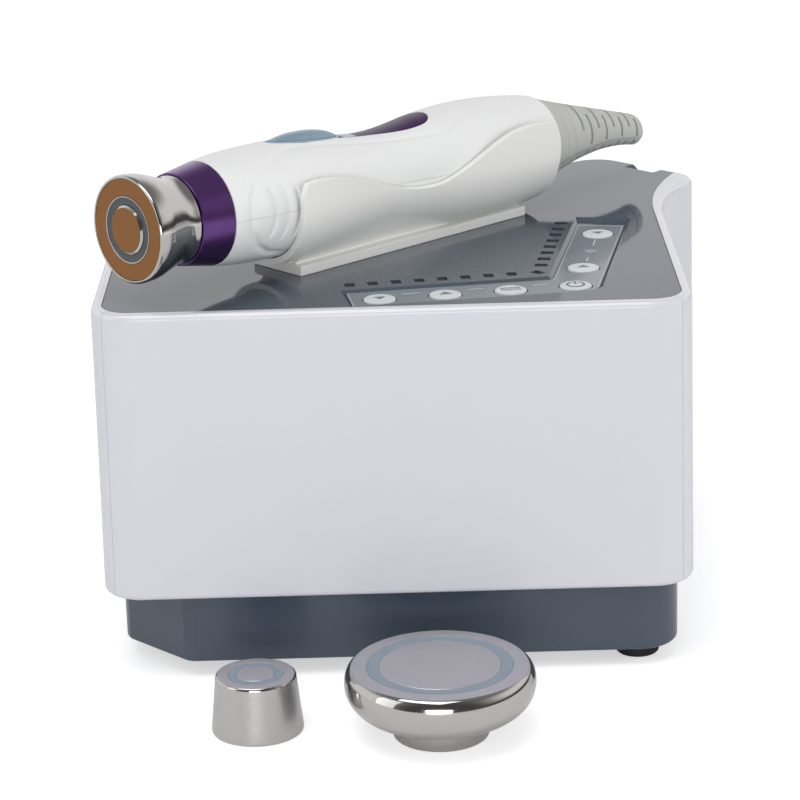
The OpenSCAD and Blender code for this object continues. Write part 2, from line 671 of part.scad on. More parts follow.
// Trough: a half revolve below the axis and upright walls above it, so the handpiece lifts out
module trough(grow, x0, x1, up) {
    line = concat([[x0, cradle_r(cradle_start) + grow]], cradle_line(grow),
        [[x1, cradle_r(cradle_end) + grow]]);
    along_x() rotate([0, 0, 90]) rotate_extrude()
        polygon(concat([[0, x0]], [for (p = line) [p.y, p.x]], [[0, x1]]));
    linear_extrude(up) polygon(concat(line, mirror_y(line)));
}
module cradle() color("white") difference() {
    union() {
        at_hand() difference() {
            trough(cradle_t, cradle_start, cradle_end, wall_top);
            cradle_edge_cut();
        }
        placed() translate([hand_at.x, hand_at.y, panel_z]) rotate(rest_angle) {
            translate([cradle_start + 6, -foot_plate_w/2, 0])
                cube([cradle_end - cradle_start - 17, foot_plate_w, foot_plate_t]);
            translate([cradle_start + 8, -foot_plate_w/4, 0])
                cube([cradle_end - cradle_start - 21, foot_plate_w/2,
                    rest_height - bulge_r + cradle_t/2]);
        }
    }
    at_hand() trough(0, cradle_start - OVER, cradle_end + OVER, 2*wall_top);
    placed() translate([0, 0, panel_z - 1]) at_cradle_screws()
        cylinder(r = cradle_screw_r - 0.3, h = 1 + foot_plate_t - 0.6, $fn = 32);
}
// Everything above the wavy edge, taken away right across the trough
module cradle_edge_cut() rotate([90, 0, 0]) translate([0, 0, -OVER]) linear_extrude(2*OVER)
    polygon(concat(
        [for (i = [0:cradle_n*2]) let (x = cradle_start + 4
            + (cradle_end - cradle_start - 4)*i/cradle_n/2) [x, cradle_edge(x)]],
        [[cradle_end + OVER, cradle_edge(cradle_end)], [cradle_end + OVER, OVER],
            [cradle_start - OVER, OVER], [cradle_start - OVER, 0], [cradle_start, 0],
            [cradle_start + 0.3, 5], [cradle_start + 1.5, 8]]));
module cradle_screws() color("silver") placed() translate([0, 0, seat_z - 1.9])
    at_cradle_screws() {
        cylinder(r = 2*cradle_screw_r, h = 1.8, $fn = 32);
        cylinder(r = cradle_screw_r - 0.35, h = 1.9 + panel_t + foot_plate_t - 1.4, $fn = 32);
    }

// ---------------------------------------------------------------- handpiece
board_x = [62, 150];
hand_board_z = 4;
shell_n = 34;
screw_x = [44, 170];
screw_r = 1.4;
screw_seat = 3;      // depth of the screw heads below the surface
button_x = [64.5, 101.5];
frame_end = 104.5;
inlay_end = 140.5;
inlay_neck = 3.1;
inlay_t = 1.6;
half_gap = 0.05;
module body_solid(grow, x0, x1) along_x() rotate([0, 0, 90]) rotate_extrude()
    polygon(concat([[0, x0]], [for (p = body_line(x0, x1, grow, shell_n)) [p.y, p.x]],
        [[0, x1]]));
module body_shell() difference() {
    body_solid(0, body_start, body_end);
    body_solid(-shell_t, body_start + 1.6, body_end - 1.6);
    along_x() translate([0, 0, body_start - 1]) cylinder(r = front_r - shell_t - 2, h = 6);
    along_x() translate([0, 0, body_end - 6]) cylinder(r = rear_r - shell_t - 2, h = 8);
    grip_cuts();
}

// Three crescents on each side and a ring groove that frames them
grip_x = [50.5, 56, 61.5];
grip_w = 1.1;
grip_ring_r = 27.9;
module grip_cuts() {
    for (side = [-1, 1]) {
        for (x = grip_x) translate([x, 0, 0]) rotate([0, -4, 0]) along_x() difference() {
            translate([-12, side*(bulge_r + 4) - 5, -grip_w/2]) cube([24, 10, grip_w]);
            translate([0, -side*(grip_ring_r - bulge_r + grip_depth), -2])
                cylinder(r = grip_ring_r, h = 4);
        }
    }
    difference() {
        translate([57.5, -OVER, 0]) rotate([-90, 0, 0]) difference() {
            cylinder(r = 19.9, h = 2*OVER);
            translate([0, 0, -1]) cylinder(r = 18.9, h = 2*OVER + 2);
        }
        body_solid(-contour_depth, body_start, body_end);
        translate([60, -OVER, -OVER]) cube([2*OVER, 2*OVER, 2*OVER]);
    }
}

// Outlines of the button, its frame and the inlay, seen from above
function oval(x0, x1, half_w, n) = [for (i = [0:n - 1]) let (a = 360*i/n)
    [(x0 + x1)/2 - (x1 - x0)/2*cos(a), half_w*sin(a)*(1 - 0.12*cos(a + 180))]];
function inlay_half(x) = let (t = (x - frame_end)/(inlay_end - inlay_half_w - frame_end))
    inlay_neck + (inlay_half_w - inlay_neck)*ease(min(1, max(0, t)));
function inlay_plan(grow) = let (x1 = inlay_end - inlay_half_w,
    side = [for (i = [0:8]) let (x = frame_end + (x1 - frame_end)*i/8)
        [x - (i == 0 ? grow : 0), inlay_half(x) + grow]]) concat(
    [for (i = [8:-1:0]) [side[i].x, side[i].y]], [for (p = side) [p.x, -p.y]],
    arc([x1, 0], inlay_half_w + grow, -90, 90, 16));
frame_w = 0.9;
function frame_plan(grow) = concat(
    oval(button_x[0] - frame_w - grow, button_x[1] + frame_w + grow,
        button_half_w + frame_w + grow, 40));

module upper_shell() color("white") at_hand() {
    for (x = screw_x) intersection() {
        z0 = screw_seat - body_r(x) + 1.65;
        translate([x, 0, z0]) difference() {
            cylinder(r = 2.2*screw_r, h = 2*OVER, $fn = 48);
            translate([0, 0, -1]) cylinder(r = screw_r + 0.05, h = 14, $fn = 48);
        }
        body_solid(-0.5, body_start, body_end);
    }
    upper_wall();
}
module upper_wall() difference() {
    body_shell();
    translate([0, -OVER, half_gap - 2*OVER]) cube([6*OVER, 2*OVER, 2*OVER]);
    linear_extrude(OVER) polygon(frame_plan(plate_gap));
    linear_extrude(OVER) translate([button_x[1] - 6, -inlay_neck - plate_gap])
        square([frame_end - button_x[1] + 6, 2*inlay_neck + 2*plate_gap]);
    difference() {
        linear_extrude(OVER) polygon(inlay_plan(plate_gap));
        body_solid(-inlay_t, body_start, body_end);
    }
}
module lower_shell() color("white") at_hand() {
    difference() {
        union() {
            difference() {
                body_shell();
                translate([0, -OVER, -half_gap]) cube([6*OVER, 2*OVER, 2*OVER]);
            }
            for (x = screw_x) intersection() {
                translate([x, 0, -body_r(x)])
                    cylinder(r = 3*screw_r, h = screw_seat + 1.6, $fn = 48);
                body_solid(-0.5, body_start, body_end);
            }
        }
        for (x = screw_x) translate([x, 0, -OVER]) {
            cylinder(r = screw_r + 0.2, h = OVER, $fn = 48);
            cylinder(r = 2*screw_r + 0.2, h = OVER - body_r(x) + screw_seat, $fn = 48);
        }
    }
    // Rests for the circuit board
    for (x = board_x) intersection() {
        difference() {
            translate([x - 2, -9, -OVER]) cube([4, 18, hand_board_z + OVER]);
            translate([x - 3, -5, -OVER - 1]) cube([6, 10, OVER - 2]);
        }
        body_solid(-0.5, body_start, body_end);
    }
}
module shell_screws() color("silver") at_hand() for (x = screw_x)
    translate([x, 0, screw_seat - body_r(x)]) {
        translate([0, 0, -1.6]) cylinder(r = 2*screw_r, h = 1.6, $fn = 48);
        cylinder(r = screw_r, h = 12, $fn = 48);
    }

module collar() color([0.25, 0.1, 0.42]) at_hand() along_x() difference() {
    translate([0, 0, collar_start])
        cylinder(r1 = collar_r, r2 = front_r - 0.1, h = body_start - collar_start);
    translate([0, 0, collar_start - 1])
        cylinder(r = spigot_r + 3.05, h = body_start - collar_start + 2);
    translate([0, 0, collar_start + 3])
        cylinder(r = collar_r - 2.2, h = body_start - collar_start);
}
spigot_flange = 12;
module contact_spigot() color([0.15, 0.15, 0.15]) at_hand() along_x() difference() {
    union() {
        translate([0, 0, collar_start - spigot_len]) cylinder(r = spigot_r, h = spigot_len + 1);
        translate([0, 0, collar_start]) cylinder(r = spigot_r + 3, h = 3);
        translate([0, 0, collar_start + 3])
            cylinder(r = spigot_flange, h = body_start - collar_start - 3);
    }
    for (a = [0:90:270]) rotate(a) translate([2.6, 0, collar_start - spigot_len - 1])
        cylinder(r = 0.8, h = 40, $fn = 24);
}
module spigot_pins() color("gold") at_hand() along_x() for (a = [0:90:270])
    rotate(a) translate([2.6, 0, collar_start - spigot_len])
        cylinder(r = 0.75, h = body_start - collar_start + spigot_len + 3, $fn = 24);

module handpiece_board() color("darkgreen") at_hand()
    translate([board_x[0] - 4, -10, hand_board_z]) cube([board_x[1] - board_x[0] + 8, 20, 1.6]);
switch_x = 84;
switch_top = 13.6;
module button_switch() color("dimgray") at_hand() translate([switch_x, 0, hand_board_z + 1.6]) {
    translate([-3, -3, 0]) cube([6, 6, switch_top - hand_board_z - 3.4]);
    cylinder(r = 1.7, h = switch_top - hand_board_z - 1.6, $fn = 32);
}

// Height of the button's crown over the handpiece axis, front to rear
crown_z = 22.4;
function crown(x) = let (t = (x - button_x[0])/(button_x[1] - button_x[0]))
    body_r(x) + (crown_z + 0.6 - body_r(80))*pow(sin(180*pow(t, 0.86)), 0.8) + 0.1;
module crown_side(lift) rotate([90, 0, 0]) translate([0, 0, -OVER/2]) linear_extrude(OVER)
    polygon(concat([for (i = [0:20]) let (x = button_x[0] + (button_x[1] - button_x[0])*i/20)
        [x, crown(x) + lift]], [[button_x[1], 0], [button_x[0], 0]]));
button_lip = 0.8;
module trigger_button() color([0.35, 0.47, 0.58]) at_hand() {
    difference() {
        intersection() {
            linear_extrude(OVER) polygon(oval(button_x[0] + button_gap,
                button_x[1] - button_gap, button_half_w - button_gap, 40));
            crown_side(0);
            translate([0, 0, crown_z - 15.5]) along_x() cylinder(r = 16, h = 3*OVER);
        }
        body_solid(-shell_t - 1, body_start, body_end);
    }
    // Lip under the frame that keeps the button in
    difference() {
        intersection() {
            linear_extrude(OVER) polygon(oval(button_x[0] - button_lip,
                button_x[1] + button_lip, button_half_w + button_lip, 40));
            body_solid(-shell_t - button_gap, body_start, body_end);
        }
        body_solid(-shell_t - 1, body_start, body_end);
    }
    stem_z = switch_top + button_travel + button_gap;
    translate([switch_x, 0, stem_z])
        cylinder(r = 1.8, h = body_r(switch_x) - shell_t - stem_z, $fn = 32);
}
// Frame around the button, with a tongue that reaches back to the inlay
module button_frame() color([0.55, 0.63, 0.7]) at_hand() difference() {
    intersection() {
        union() {
            linear_extrude(OVER) polygon(frame_plan(0));
            linear_extrude(OVER) translate([button_x[1] - 6, -inlay_neck])
                square([frame_end - button_x[1] + 6 - plate_gap, 2*inlay_neck]);
        }
        body_solid(0.15, body_start, body_end);
    }
    body_solid(-shell_t, body_start, body_end);
    linear_extrude(OVER) polygon(oval(button_x[0], button_x[1], button_half_w, 40));
}
module inlay() color([0.22, 0.1, 0.33]) at_hand() intersection() {
    linear_extrude(OVER) polygon(inlay_plan(0));
    difference() {
        body_solid(-0.15, body_start, body_end);
        body_solid(-inlay_t, body_start, body_end);
    }
}

// ---------------------------------------------------------------- strain relief
boot_n = 22;
boot_ring = 32;
boot_step = 0.5;
function boot_r(t) = boot_end_r + (rear_r - boot_step - boot_end_r)*pow(1 - t, 1.7);
function boot_c(t) = -boot_droop*pow(t, 3);
module strain_relief() color("darkgray") at_hand() difference() {
    union() {
        loft([for (k = [0:boot_n]) let (t = k/boot_n) [for (i = [0:boot_ring - 1])
            let (a = -360*i/boot_ring) [body_end + boot_len*t, boot_r(t)*sin(a),
                boot_c(t) + boot_r(t)*cos(a)]]]);
        along_x() translate([0, 0, body_end - 8])
            cylinder(r = rear_r - shell_t - 2.4, h = 8 + TINY);
    }
    along_x() translate([0, 0, body_end - 9]) cylinder(r = lead_r, h = boot_len/2 + 9);
    loft([for (k = [0:8]) let (t = 0.5 - TINY + (0.5 + 2*TINY)*k/8)
        [for (i = [0:15]) let (a = -360*i/16) [body_end + boot_len*t, lead_r*sin(a),
            boot_c(t) + lead_r*cos(a)]]]);
    for (k = [0:5]) let (t = 0.2 + 0.13*k) for (side = [0, 1]) let (turn = k % 2*90 + side*180)
        translate([body_end + boot_len*t, 0, boot_c(t)]) rotate([turn, 0, 0]) along_x()
            rotate(45) difference() {
                cube([2*boot_r(t) + 2, 2*boot_r(t) + 2, slot_w]);
                translate([0, 0, -1]) cylinder(r = boot_r(t)*0.62, h = slot_w + 2, $fn = 32);
            }
}

// ---------------------------------------------------------------- electrode heads
head_end = collar_start - head_gap;
face_t = 2;
bore_r = spigot_r + spigot_fit;
bore_len = spigot_len + 0.4;
function bell(n) = [for (i = [0:n]) let (t = i/n)
    [head_r - (head_r - neck_r)*ease(min(1, t*1.1)), 2.6 + t*(17.2 - 2.6)]];
module head_body() color("silver") at_hand() along_x() difference() {
    rotate_extrude() polygon(concat([[0, 0], [head_r - 0.9, 0], [head_r - 0.3, 0.3],
        [head_r, 0.9]], bell(12), [[neck_r + 0.3, head_end], [0, head_end]]));
    translate([0, 0, -1]) cylinder(r = head_r - 1.2, h = 1 + face_t);
    translate([0, 0, head_end - bore_len]) cylinder(r = bore_r, h = bore_len + 1);
}
module head_face() color([0.6, 0.42, 0.22]) at_hand() along_x() difference() {
    translate([0, 0, 0.1]) cylinder(r = head_r - 1.2 - plate_gap/3, h = face_t - 0.1);
    translate([0, 0, -1]) cylinder(r = ring_r, h = face_t + 2);
}
module head_insulator() color([0.3, 0.33, 0.36]) at_hand() along_x() difference() {
    translate([0, 0, 0.35]) cylinder(r = ring_r - plate_gap/3, h = face_t - 0.35);
    translate([0, 0, -1]) cylinder(r = disc_r + plate_gap/3, h = face_t + 2);
}
module head_disc() color([0.6, 0.42, 0.22]) at_hand() along_x() rotate_extrude()
    polygon([[0, -0.6], [disc_r - 0.9, -0.6], [disc_r, 0.1], [disc_r, face_t], [0, face_t]]);

module at_large() placed() translate([large_at.x, large_at.y, 0]) children();
module at_small() placed() translate([small_at.x, small_at.y, 0]) children();
spare_face_t = 2.5;
large_rim_z = large_h - 6.2;
large_stem_h = 7;
large_flat = large_r - 3.1;
function bowl(n) = [for (i = [0:n]) let (t = i/n)
    [large_stem_r + (large_r - large_stem_r)*sin(90*t),
        large_stem_h + (large_rim_z - large_stem_h)*(1 - cos(90*t))]];
function lip(n) = [for (i = [1:n]) let (a = 90*i/n)
    [large_flat + (large_r - large_flat)*cos(a), large_rim_z + (large_h - large_rim_z)*sin(a)]];
module spare_bore(h) translate([0, 0, -1]) cylinder(r = bore_r, h = 1 + min(bore_len, h));
module large_head_body() color("silver") at_large() difference() {
    rotate_extrude() polygon(concat([[0, 0], [large_stem_r - 0.5, 0], [large_stem_r, 0.5]],
        bowl(12), lip(6), [[0, large_h]]));
    translate([0, 0, large_h - spare_face_t])
        cylinder(r = large_ring_r + plate_gap/3, h = spare_face_t + 1);
    spare_bore(large_h - spare_face_t - 2);
}
module large_head_insulator() color("lightsteelblue") at_large() difference() {
    translate([0, 0, large_h - spare_face_t]) cylinder(r = large_ring_r, h = spare_face_t - 0.05);
    translate([0, 0, large_h - 2*spare_face_t]) cylinder(r = large_disc_r, h = 3*spare_face_t);
}
module large_head_disc() color("silver") at_large()
    translate([0, 0, large_h - spare_face_t])
        cylinder(r = large_disc_r - plate_gap/3, h = spare_face_t);
module small_head_body() color("silver") at_small() difference() {
    rotate_extrude() polygon([[0, 0], [small_foot_r - 0.4, 0], [small_foot_r, 0.4],
        [small_top_r, small_h - 1.4], [small_top_r - 0.4, small_h - 0.4],
        [small_top_r - 1.4, small_h], [0, small_h]]);
    translate([0, 0, small_h - spare_face_t])
        cylinder(r = small_ring_r + plate_gap/3, h = spare_face_t + 1);
    spare_bore(small_h - spare_face_t - 2);
}
module small_head_insulator() color("lightsteelblue") at_small() difference() {
    translate([0, 0, small_h - spare_face_t]) cylinder(r = small_ring_r, h = spare_face_t - 0.05);
    translate([0, 0, small_h - 2*spare_face_t]) cylinder(r = small_disc_r, h = 3*spare_face_t);
}
module small_head_disc() color("silver") at_small()
    translate([0, 0, small_h - spare_face_t])
        cylinder(r = small_disc_r - plate_gap/3, h = spare_face_t);

front_cover();
housing_shell();
top_panel();
keypad_overlay();
key_down();
key_up();
key_mode();
key_power();
key_next();
key_start();
lamp_guides();
key_board();
key_switches();
base_tray();
feet();
tray_screws();
supply_board();
transformer();
output_board();
heat_sink();
board_screws();
mains_inlet();
inlet_pins();
handpiece_socket();
socket_nut();
socket_pins();
cradle();
cradle_screws();
upper_shell();
lower_shell();
collar();
contact_spigot();
spigot_pins();
handpiece_board();
button_switch();
shell_screws();
button_frame();
trigger_button();
inlay();
strain_relief();
head_body();
head_face();
head_insulator();
head_disc();
large_head_body();
large_head_insulator();
large_head_disc();
small_head_body();
small_head_insulator();
small_head_disc();
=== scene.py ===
"""Facial toning device: finished surfaces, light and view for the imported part.

Pieces are shaped in millimetres, the console in its own frame (front face at y = 0, table at
z = 0) and the handpiece along its axis (x), and are then put in place in metres.
"""

import json
import math

import bpy
import numpy as np
from mathutils import Matrix, Vector


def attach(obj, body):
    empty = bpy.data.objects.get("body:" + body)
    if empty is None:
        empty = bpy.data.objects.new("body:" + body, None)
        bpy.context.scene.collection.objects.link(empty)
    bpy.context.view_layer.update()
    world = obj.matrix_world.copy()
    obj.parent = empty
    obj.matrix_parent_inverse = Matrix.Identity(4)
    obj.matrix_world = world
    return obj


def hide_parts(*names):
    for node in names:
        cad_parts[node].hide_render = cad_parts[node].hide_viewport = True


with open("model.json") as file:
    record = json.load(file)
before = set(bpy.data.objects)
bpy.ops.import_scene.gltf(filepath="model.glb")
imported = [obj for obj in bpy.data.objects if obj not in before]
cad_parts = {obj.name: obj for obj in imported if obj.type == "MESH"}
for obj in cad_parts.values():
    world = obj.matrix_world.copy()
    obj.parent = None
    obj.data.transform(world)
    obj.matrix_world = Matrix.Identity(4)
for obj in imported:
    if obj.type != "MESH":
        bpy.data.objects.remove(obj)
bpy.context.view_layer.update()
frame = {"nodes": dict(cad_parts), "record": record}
MM = 0.001
FINE = 1.0  # share of the full fineness of curved pieces

# Places: the console's own frame, and the handpiece lying in its cradle
HAND_X, HAND_Y, HAND_Z = -90.2058, 9.0383, 166.2
HAND_TURN, HAND_DIP = math.radians(42.733), math.radians(1.3)
CONSOLE = Matrix.Scale(MM, 4) @ Matrix.Translation((-7.90693, -65.25693, 0))
HAND = (
    CONSOLE
    @ Matrix.Translation((HAND_X, HAND_Y, HAND_Z))
    @ Matrix.Rotation(HAND_TURN, 4, "Z")
    @ Matrix.Rotation(HAND_DIP, 4, "Y")
)
ALONG = Matrix.Rotation(math.radians(90), 4, "Y")
LARGE_HEAD = CONSOLE @ Matrix.Translation((13.1, -47.1, 0))
SMALL_HEAD = CONSOLE @ Matrix.Translation((-50.2, -39.6, 0))

# Heights of the console's parts over the table
TRAY_Z, HOUSING_Z, SEAT_Z, RECESS_Z, PANEL_Z, TOP_Z = 6.2, 32.4, 135.0, 136.3, 137.6, 138.0


# ---------------------------------------------------------------- how pieces are made
def nothing_selected():
    if bpy.context.object and bpy.context.object.mode != "OBJECT":
        bpy.ops.object.mode_set(mode="OBJECT")
    bpy.ops.object.select_all(action="DESELECT")


def only(piece):
    """Makes the piece the only selected and the active object."""
    nothing_selected()
    piece.select_set(True)
    bpy.context.view_layer.objects.active = piece


def open_mesh(piece, kind="VERT"):
    only(piece)
    bpy.ops.object.mode_set(mode="EDIT")
    bpy.ops.mesh.select_mode(type=kind)


def open_all(piece):
    """Opens the mesh with everything selected."""
    open_mesh(piece)
    bpy.ops.mesh.select_all(action="SELECT")


def close_mesh():
    bpy.ops.object.mode_set(mode="OBJECT")


def pick(piece, kind, parts, wanted):
    """Opens the mesh with only those of its parts selected that are wanted."""
    open_mesh(piece, kind)
    bpy.ops.mesh.select_all(action="DESELECT")
    close_mesh()
    for part in getattr(piece.data, parts):
        part.select = bool(wanted(part))
    bpy.ops.object.mode_set(mode="EDIT")


def pick_faces(piece, wanted):
    """Picks the faces whose centre and normal are wanted."""
    pick(piece, "FACE", "polygons", lambda face: wanted(face.center, face.normal))


def pick_corners(piece, wanted):
    """Picks the vertices whose place is wanted."""
    pick(piece, "VERT", "vertices", lambda corner: wanted(corner.co))


def pick_edges(piece, wanted):
    """Picks the edges whose two ends are wanted."""

    def ends_wanted(edge):
        a, b = (piece.data.vertices[i].co for i in edge.vertices)
        return wanted(a, b)

    pick(piece, "EDGE", "edges", ends_wanted)


def near(place, at, reach):
    """Whether the place lies within reach of the plan point."""
    return math.hypot(place.x - at[0], place.y - at[1]) < reach


def renamed(piece, name):
    piece.name = piece.data.name = name
    return piece


def named(name):
    """Names the piece that was made last."""
    return renamed(bpy.context.object, name)


def traced(name, points):
    """A line drawn vertex by vertex through the points; the mesh stays open with all selected."""
    nothing_selected()
    bpy.ops.mesh.primitive_plane_add(size=1, location=(0, 0, 0))
    piece = named(name)
    open_all(piece)
    bpy.ops.mesh.merge(type="CENTER")
    bpy.ops.transform.translate(value=points[0])
    for a, b in zip(points, points[1:]):
        step = [q - p for p, q in zip(a, b)]
        bpy.ops.mesh.extrude_region_move(TRANSFORM_OT_translate={"value": step})
    bpy.ops.mesh.select_all(action="SELECT")
    return piece


def outwards(piece, merge=1e-4):
    """Merges doubles and turns all faces outwards."""
    open_all(piece)
    bpy.ops.mesh.remove_doubles(threshold=merge)
    bpy.ops.mesh.delete_loose()
    bpy.ops.mesh.select_all(action="SELECT")
    bpy.ops.mesh.normals_make_consistent(inside=False)
    close_mesh()
    return piece


def faced_up(piece):
    """Turns all faces over if most of them look down."""
    if sum(face.normal.z for face in piece.data.polygons) < 0:
        open_all(piece)
        bpy.ops.mesh.flip_normals()
        close_mesh()
    return piece


def mended(piece):
    """Welds the hair cracks that cutting and bevelling can leave."""
    open_all(piece)
    bpy.ops.mesh.remove_doubles(threshold=2e-3)
    bpy.ops.mesh.fill_holes(sides=30)
    bpy.ops.mesh.normals_make_consistent(inside=False)
    close_mesh()
    return piece


def turned(name, profile, steps=160, merge=1e-3):
    """A piece turned about the z axis from a profile of (radius, height) points."""
    piece = traced(name, [(r, 0, h) for r, h in profile])
    bpy.ops.mesh.spin(
        steps=steps, angle=2 * math.pi, center=(0, 0, 0), axis=(0, 0, 1), use_auto_merge=False
    )
    close_mesh()
    return outwards(piece, merge)


def prism(name, outline, z0, z1):
    """A closed outline raised from z0 to z1."""
    piece = traced(name, [(x, y, z0) for x, y in outline])
    bpy.ops.mesh.edge_face_add()
    bpy.ops.mesh.extrude_region_move(TRANSFORM_OT_translate={"value": (0, 0, z1 - z0)})
    close_mesh()
    return outwards(piece)


def block(name, centre, size):
    """A box for cutting or as the start of a bevelled piece."""
    nothing_selected()
    bpy.ops.mesh.primitive_cube_add(size=1, location=centre)
    piece = named(name)
    piece.scale = size
    bpy.ops.object.transform_apply(location=True, rotation=True, scale=True)
    return piece


def drum(name, x, y, z, radius, height, towards=(0, 0, 0), corners=64):
    """A round tool centred at the place, turned by the angles given in degrees."""
    nothing_selected()
    bpy.ops.mesh.primitive_cylinder_add(
        vertices=corners, radius=radius, depth=height, location=(x, y, z),
        rotation=[math.radians(a) for a in towards],
    )
    piece = named(name)
    bpy.ops.object.transform_apply(location=True, rotation=True, scale=True)
    return piece


def turn(piece, matrix):
    """Moves the piece by the matrix and settles it in its mesh."""
    only(piece)
    piece.matrix_world = matrix @ piece.matrix_world
    bpy.ops.object.transform_apply(location=True, rotation=True, scale=True)
    return piece


def set_at(piece, x, y, degrees=0):
    """Turns the piece about the z axis and then moves it to the plan point."""
    spot = Matrix.Translation((x, y, 0)) @ Matrix.Rotation(math.radians(degrees), 4, "Z")
    return turn(piece, spot)


def copied(piece, name):
    twin = piece.copy()
    twin.data = piece.data.copy()
    bpy.context.scene.collection.objects.link(twin)
    return renamed(twin, name)


def joined(name, pieces):
    only(pieces[0])
    for piece in pieces:
        piece.select_set(True)
    bpy.ops.object.join()
    return named(name)


def modified(piece, kind, **values):
    """Adds one modifier, sets it and applies it."""
    only(piece)
    modifier = piece.modifiers.new(kind.title(), kind)
    for key, value in values.items():
        setattr(modifier, key, value)
    bpy.ops.object.modifier_apply(modifier=modifier.name)
    return piece


def cut(piece, tool, operation="DIFFERENCE"):
    """Cuts the tool away from the piece, or keeps what they share, and removes the tool."""
    modified(piece, "BOOLEAN", object=tool, operation=operation, solver="EXACT")
    bpy.data.objects.remove(tool)
    return piece


def softened(piece, width, segments=2, angle=35):
    """Rounds all edges sharper than the angle."""
    return modified(
        piece, "BEVEL", width=width, segments=segments, limit_method="ANGLE",
        angle_limit=math.radians(angle), use_clamp_overlap=True, miter_outer="MITER_ARC",
    )


def shaded(piece, angle=40, weight=60):
    """Smooth shading up to the angle; a weight of 100 keeps flat faces quite flat."""
    only(piece)
    bpy.ops.object.shade_smooth_by_angle(angle=math.radians(angle))
    return modified(piece, "WEIGHTED_NORMAL", keep_sharp=True, weight=weight)


def places_of(piece):
    """The places of the piece's vertices, one row each."""
    places = np.zeros(len(piece.data.vertices) * 3)
    piece.data.vertices.foreach_get("co", places)
    return places.reshape(-1, 3)


def reshaped(piece, change):
    """Moves the piece's vertices: change takes and gives an array of places."""
    piece.data.vertices.foreach_set("co", np.asarray(change(places_of(piece))).ravel())
    piece.data.update()
    return piece


def sheet_of(name, columns, rows, place):
    """A surface of columns by rows, laid out by place(u, v) with u and v from 0 to 1."""
    nothing_selected()
    bpy.ops.mesh.primitive_grid_add(x_subdivisions=columns, y_subdivisions=rows, size=1)
    piece = named(name)
    return reshaped(piece, lambda p: place(p[:, 0] + 0.5, p[:, 1] + 0.5))


def carved(piece, depth_at):
    """Sinks the surface along its normals by depth_at(places), in millimetres."""
    depth = depth_at(places_of(piece))
    most = float(np.abs(depth).max())
    group = piece.vertex_groups.new(name="carving")
    for i in np.nonzero(np.abs(depth) > 1e-4)[0]:
        group.add([int(i)], float(abs(depth[i]) / most), "REPLACE")
    modified(
        piece, "DISPLACE", strength=-most, mid_level=0, direction="NORMAL",
        vertex_group="carving",
    )
    piece.vertex_groups.clear()
    return piece


def dressed(piece, *skins):
    """Gives the piece these finishes in place of those it has."""
    piece.data.materials.clear()
    for skin in skins:
        piece.data.materials.append(skin)
    return piece


def place_piece(piece, place, body, skin, slot, *nodes):
    """Puts a piece in the device, on its body; without a skin it keeps the finishes it wears."""
    turn(piece, place)
    if skin:
        dressed(piece, skin)
    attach(piece, body)
    if nodes:
        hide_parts(*nodes)
    return piece


# ---------------------------------------------------------------- outlines shared with the solids
def arc(centre, radius, start, end, count):
    """Points of an arc between two angles in degrees, both ends included."""
    turns = [math.radians(start + (end - start) * i / count) for i in range(count + 1)]
    return [(centre[0] + radius * math.cos(a), centre[1] + radius * math.sin(a)) for a in turns]


# Housing: half width, depth, corner round, rim beside the panel and wall
SIDE_X, BACK_Y, CORNER_R, RIM_W, WALL = 105.0, 194.0, 14.5, 3.9, 2.5
# Ear: its hollow flare, the small round that ends it, and the panel's own flatter flare
EAR_R, FLARE_R, FLARE_C = 12.5, 74.0, (179.0, 124.0)
FILLET_C, FILLET_TURN = (108.314, 173.857), -35.2
PANEL_FLARE_R = 133
# Base tray: how far it stands in from the housing, the cut of its corners, and its wall
TRAY_IN, TRAY_CUT, TRAY_WALL = 4.6, 24, 2.6


def ear_half(inset):
    """Right side's flare and the small round up to the middle of the ear's slanted end."""
    return arc(FLARE_C, FLARE_R + inset, 180, 180 + FILLET_TURN, 28) + arc(
        FILLET_C, EAR_R - inset, FILLET_TURN, 45, 20
    )[1:]


def housing_outline(inset):
    """Plan of the housing with its ear, moved inwards by the inset."""
    half = ear_half(inset)
    mirrored = [(y - BACK_Y + SIDE_X, x + BACK_Y - SIDE_X) for x, y in reversed(half)]
    r = CORNER_R - inset
    return (
        arc((CORNER_R - SIDE_X, CORNER_R), r, 180, 270, 25)
        + arc((SIDE_X - CORNER_R, CORNER_R), r, 270, 360, 25)
        + half
        + mirrored
        + arc((CORNER_R - SIDE_X, BACK_Y - CORNER_R), r, 90, 180, 25)
    )


def panel_window(gap):
    """Opening of the rim for the top panel, open towards the back."""
    x, y, r = SIDE_X - RIM_W + gap, RIM_W - gap, CORNER_R - RIM_W + gap
    return (
        arc((r - x, y + r), r, 180, 270, 24)
        + arc((x - r, y + r), r, 270, 360, 24)
        + arc((x + PANEL_FLARE_R - gap, FLARE_C[1]), PANEL_FLARE_R - gap, 180, 140, 30)
        + [(x + 50, 300), (-x, 300)]
    )


def tray_outline(inset):
    """Plan of the base tray, cut off at its front left and rear right corners."""
    side, deep = SIDE_X - TRAY_IN - inset, BACK_Y - TRAY_IN - inset
    front = TRAY_IN + inset
    c, r = TRAY_CUT - inset * (2 - math.sqrt(2)), CORNER_R - inset
    return (
        [(-side, front + c), (-side + c, front)]
        + arc((side - r, front + r), r, 270, 360, 20)
        + [(side, deep - c), (side - c, deep)]
        + arc((r - side, deep - r), r, 90, 180, 20)
    )


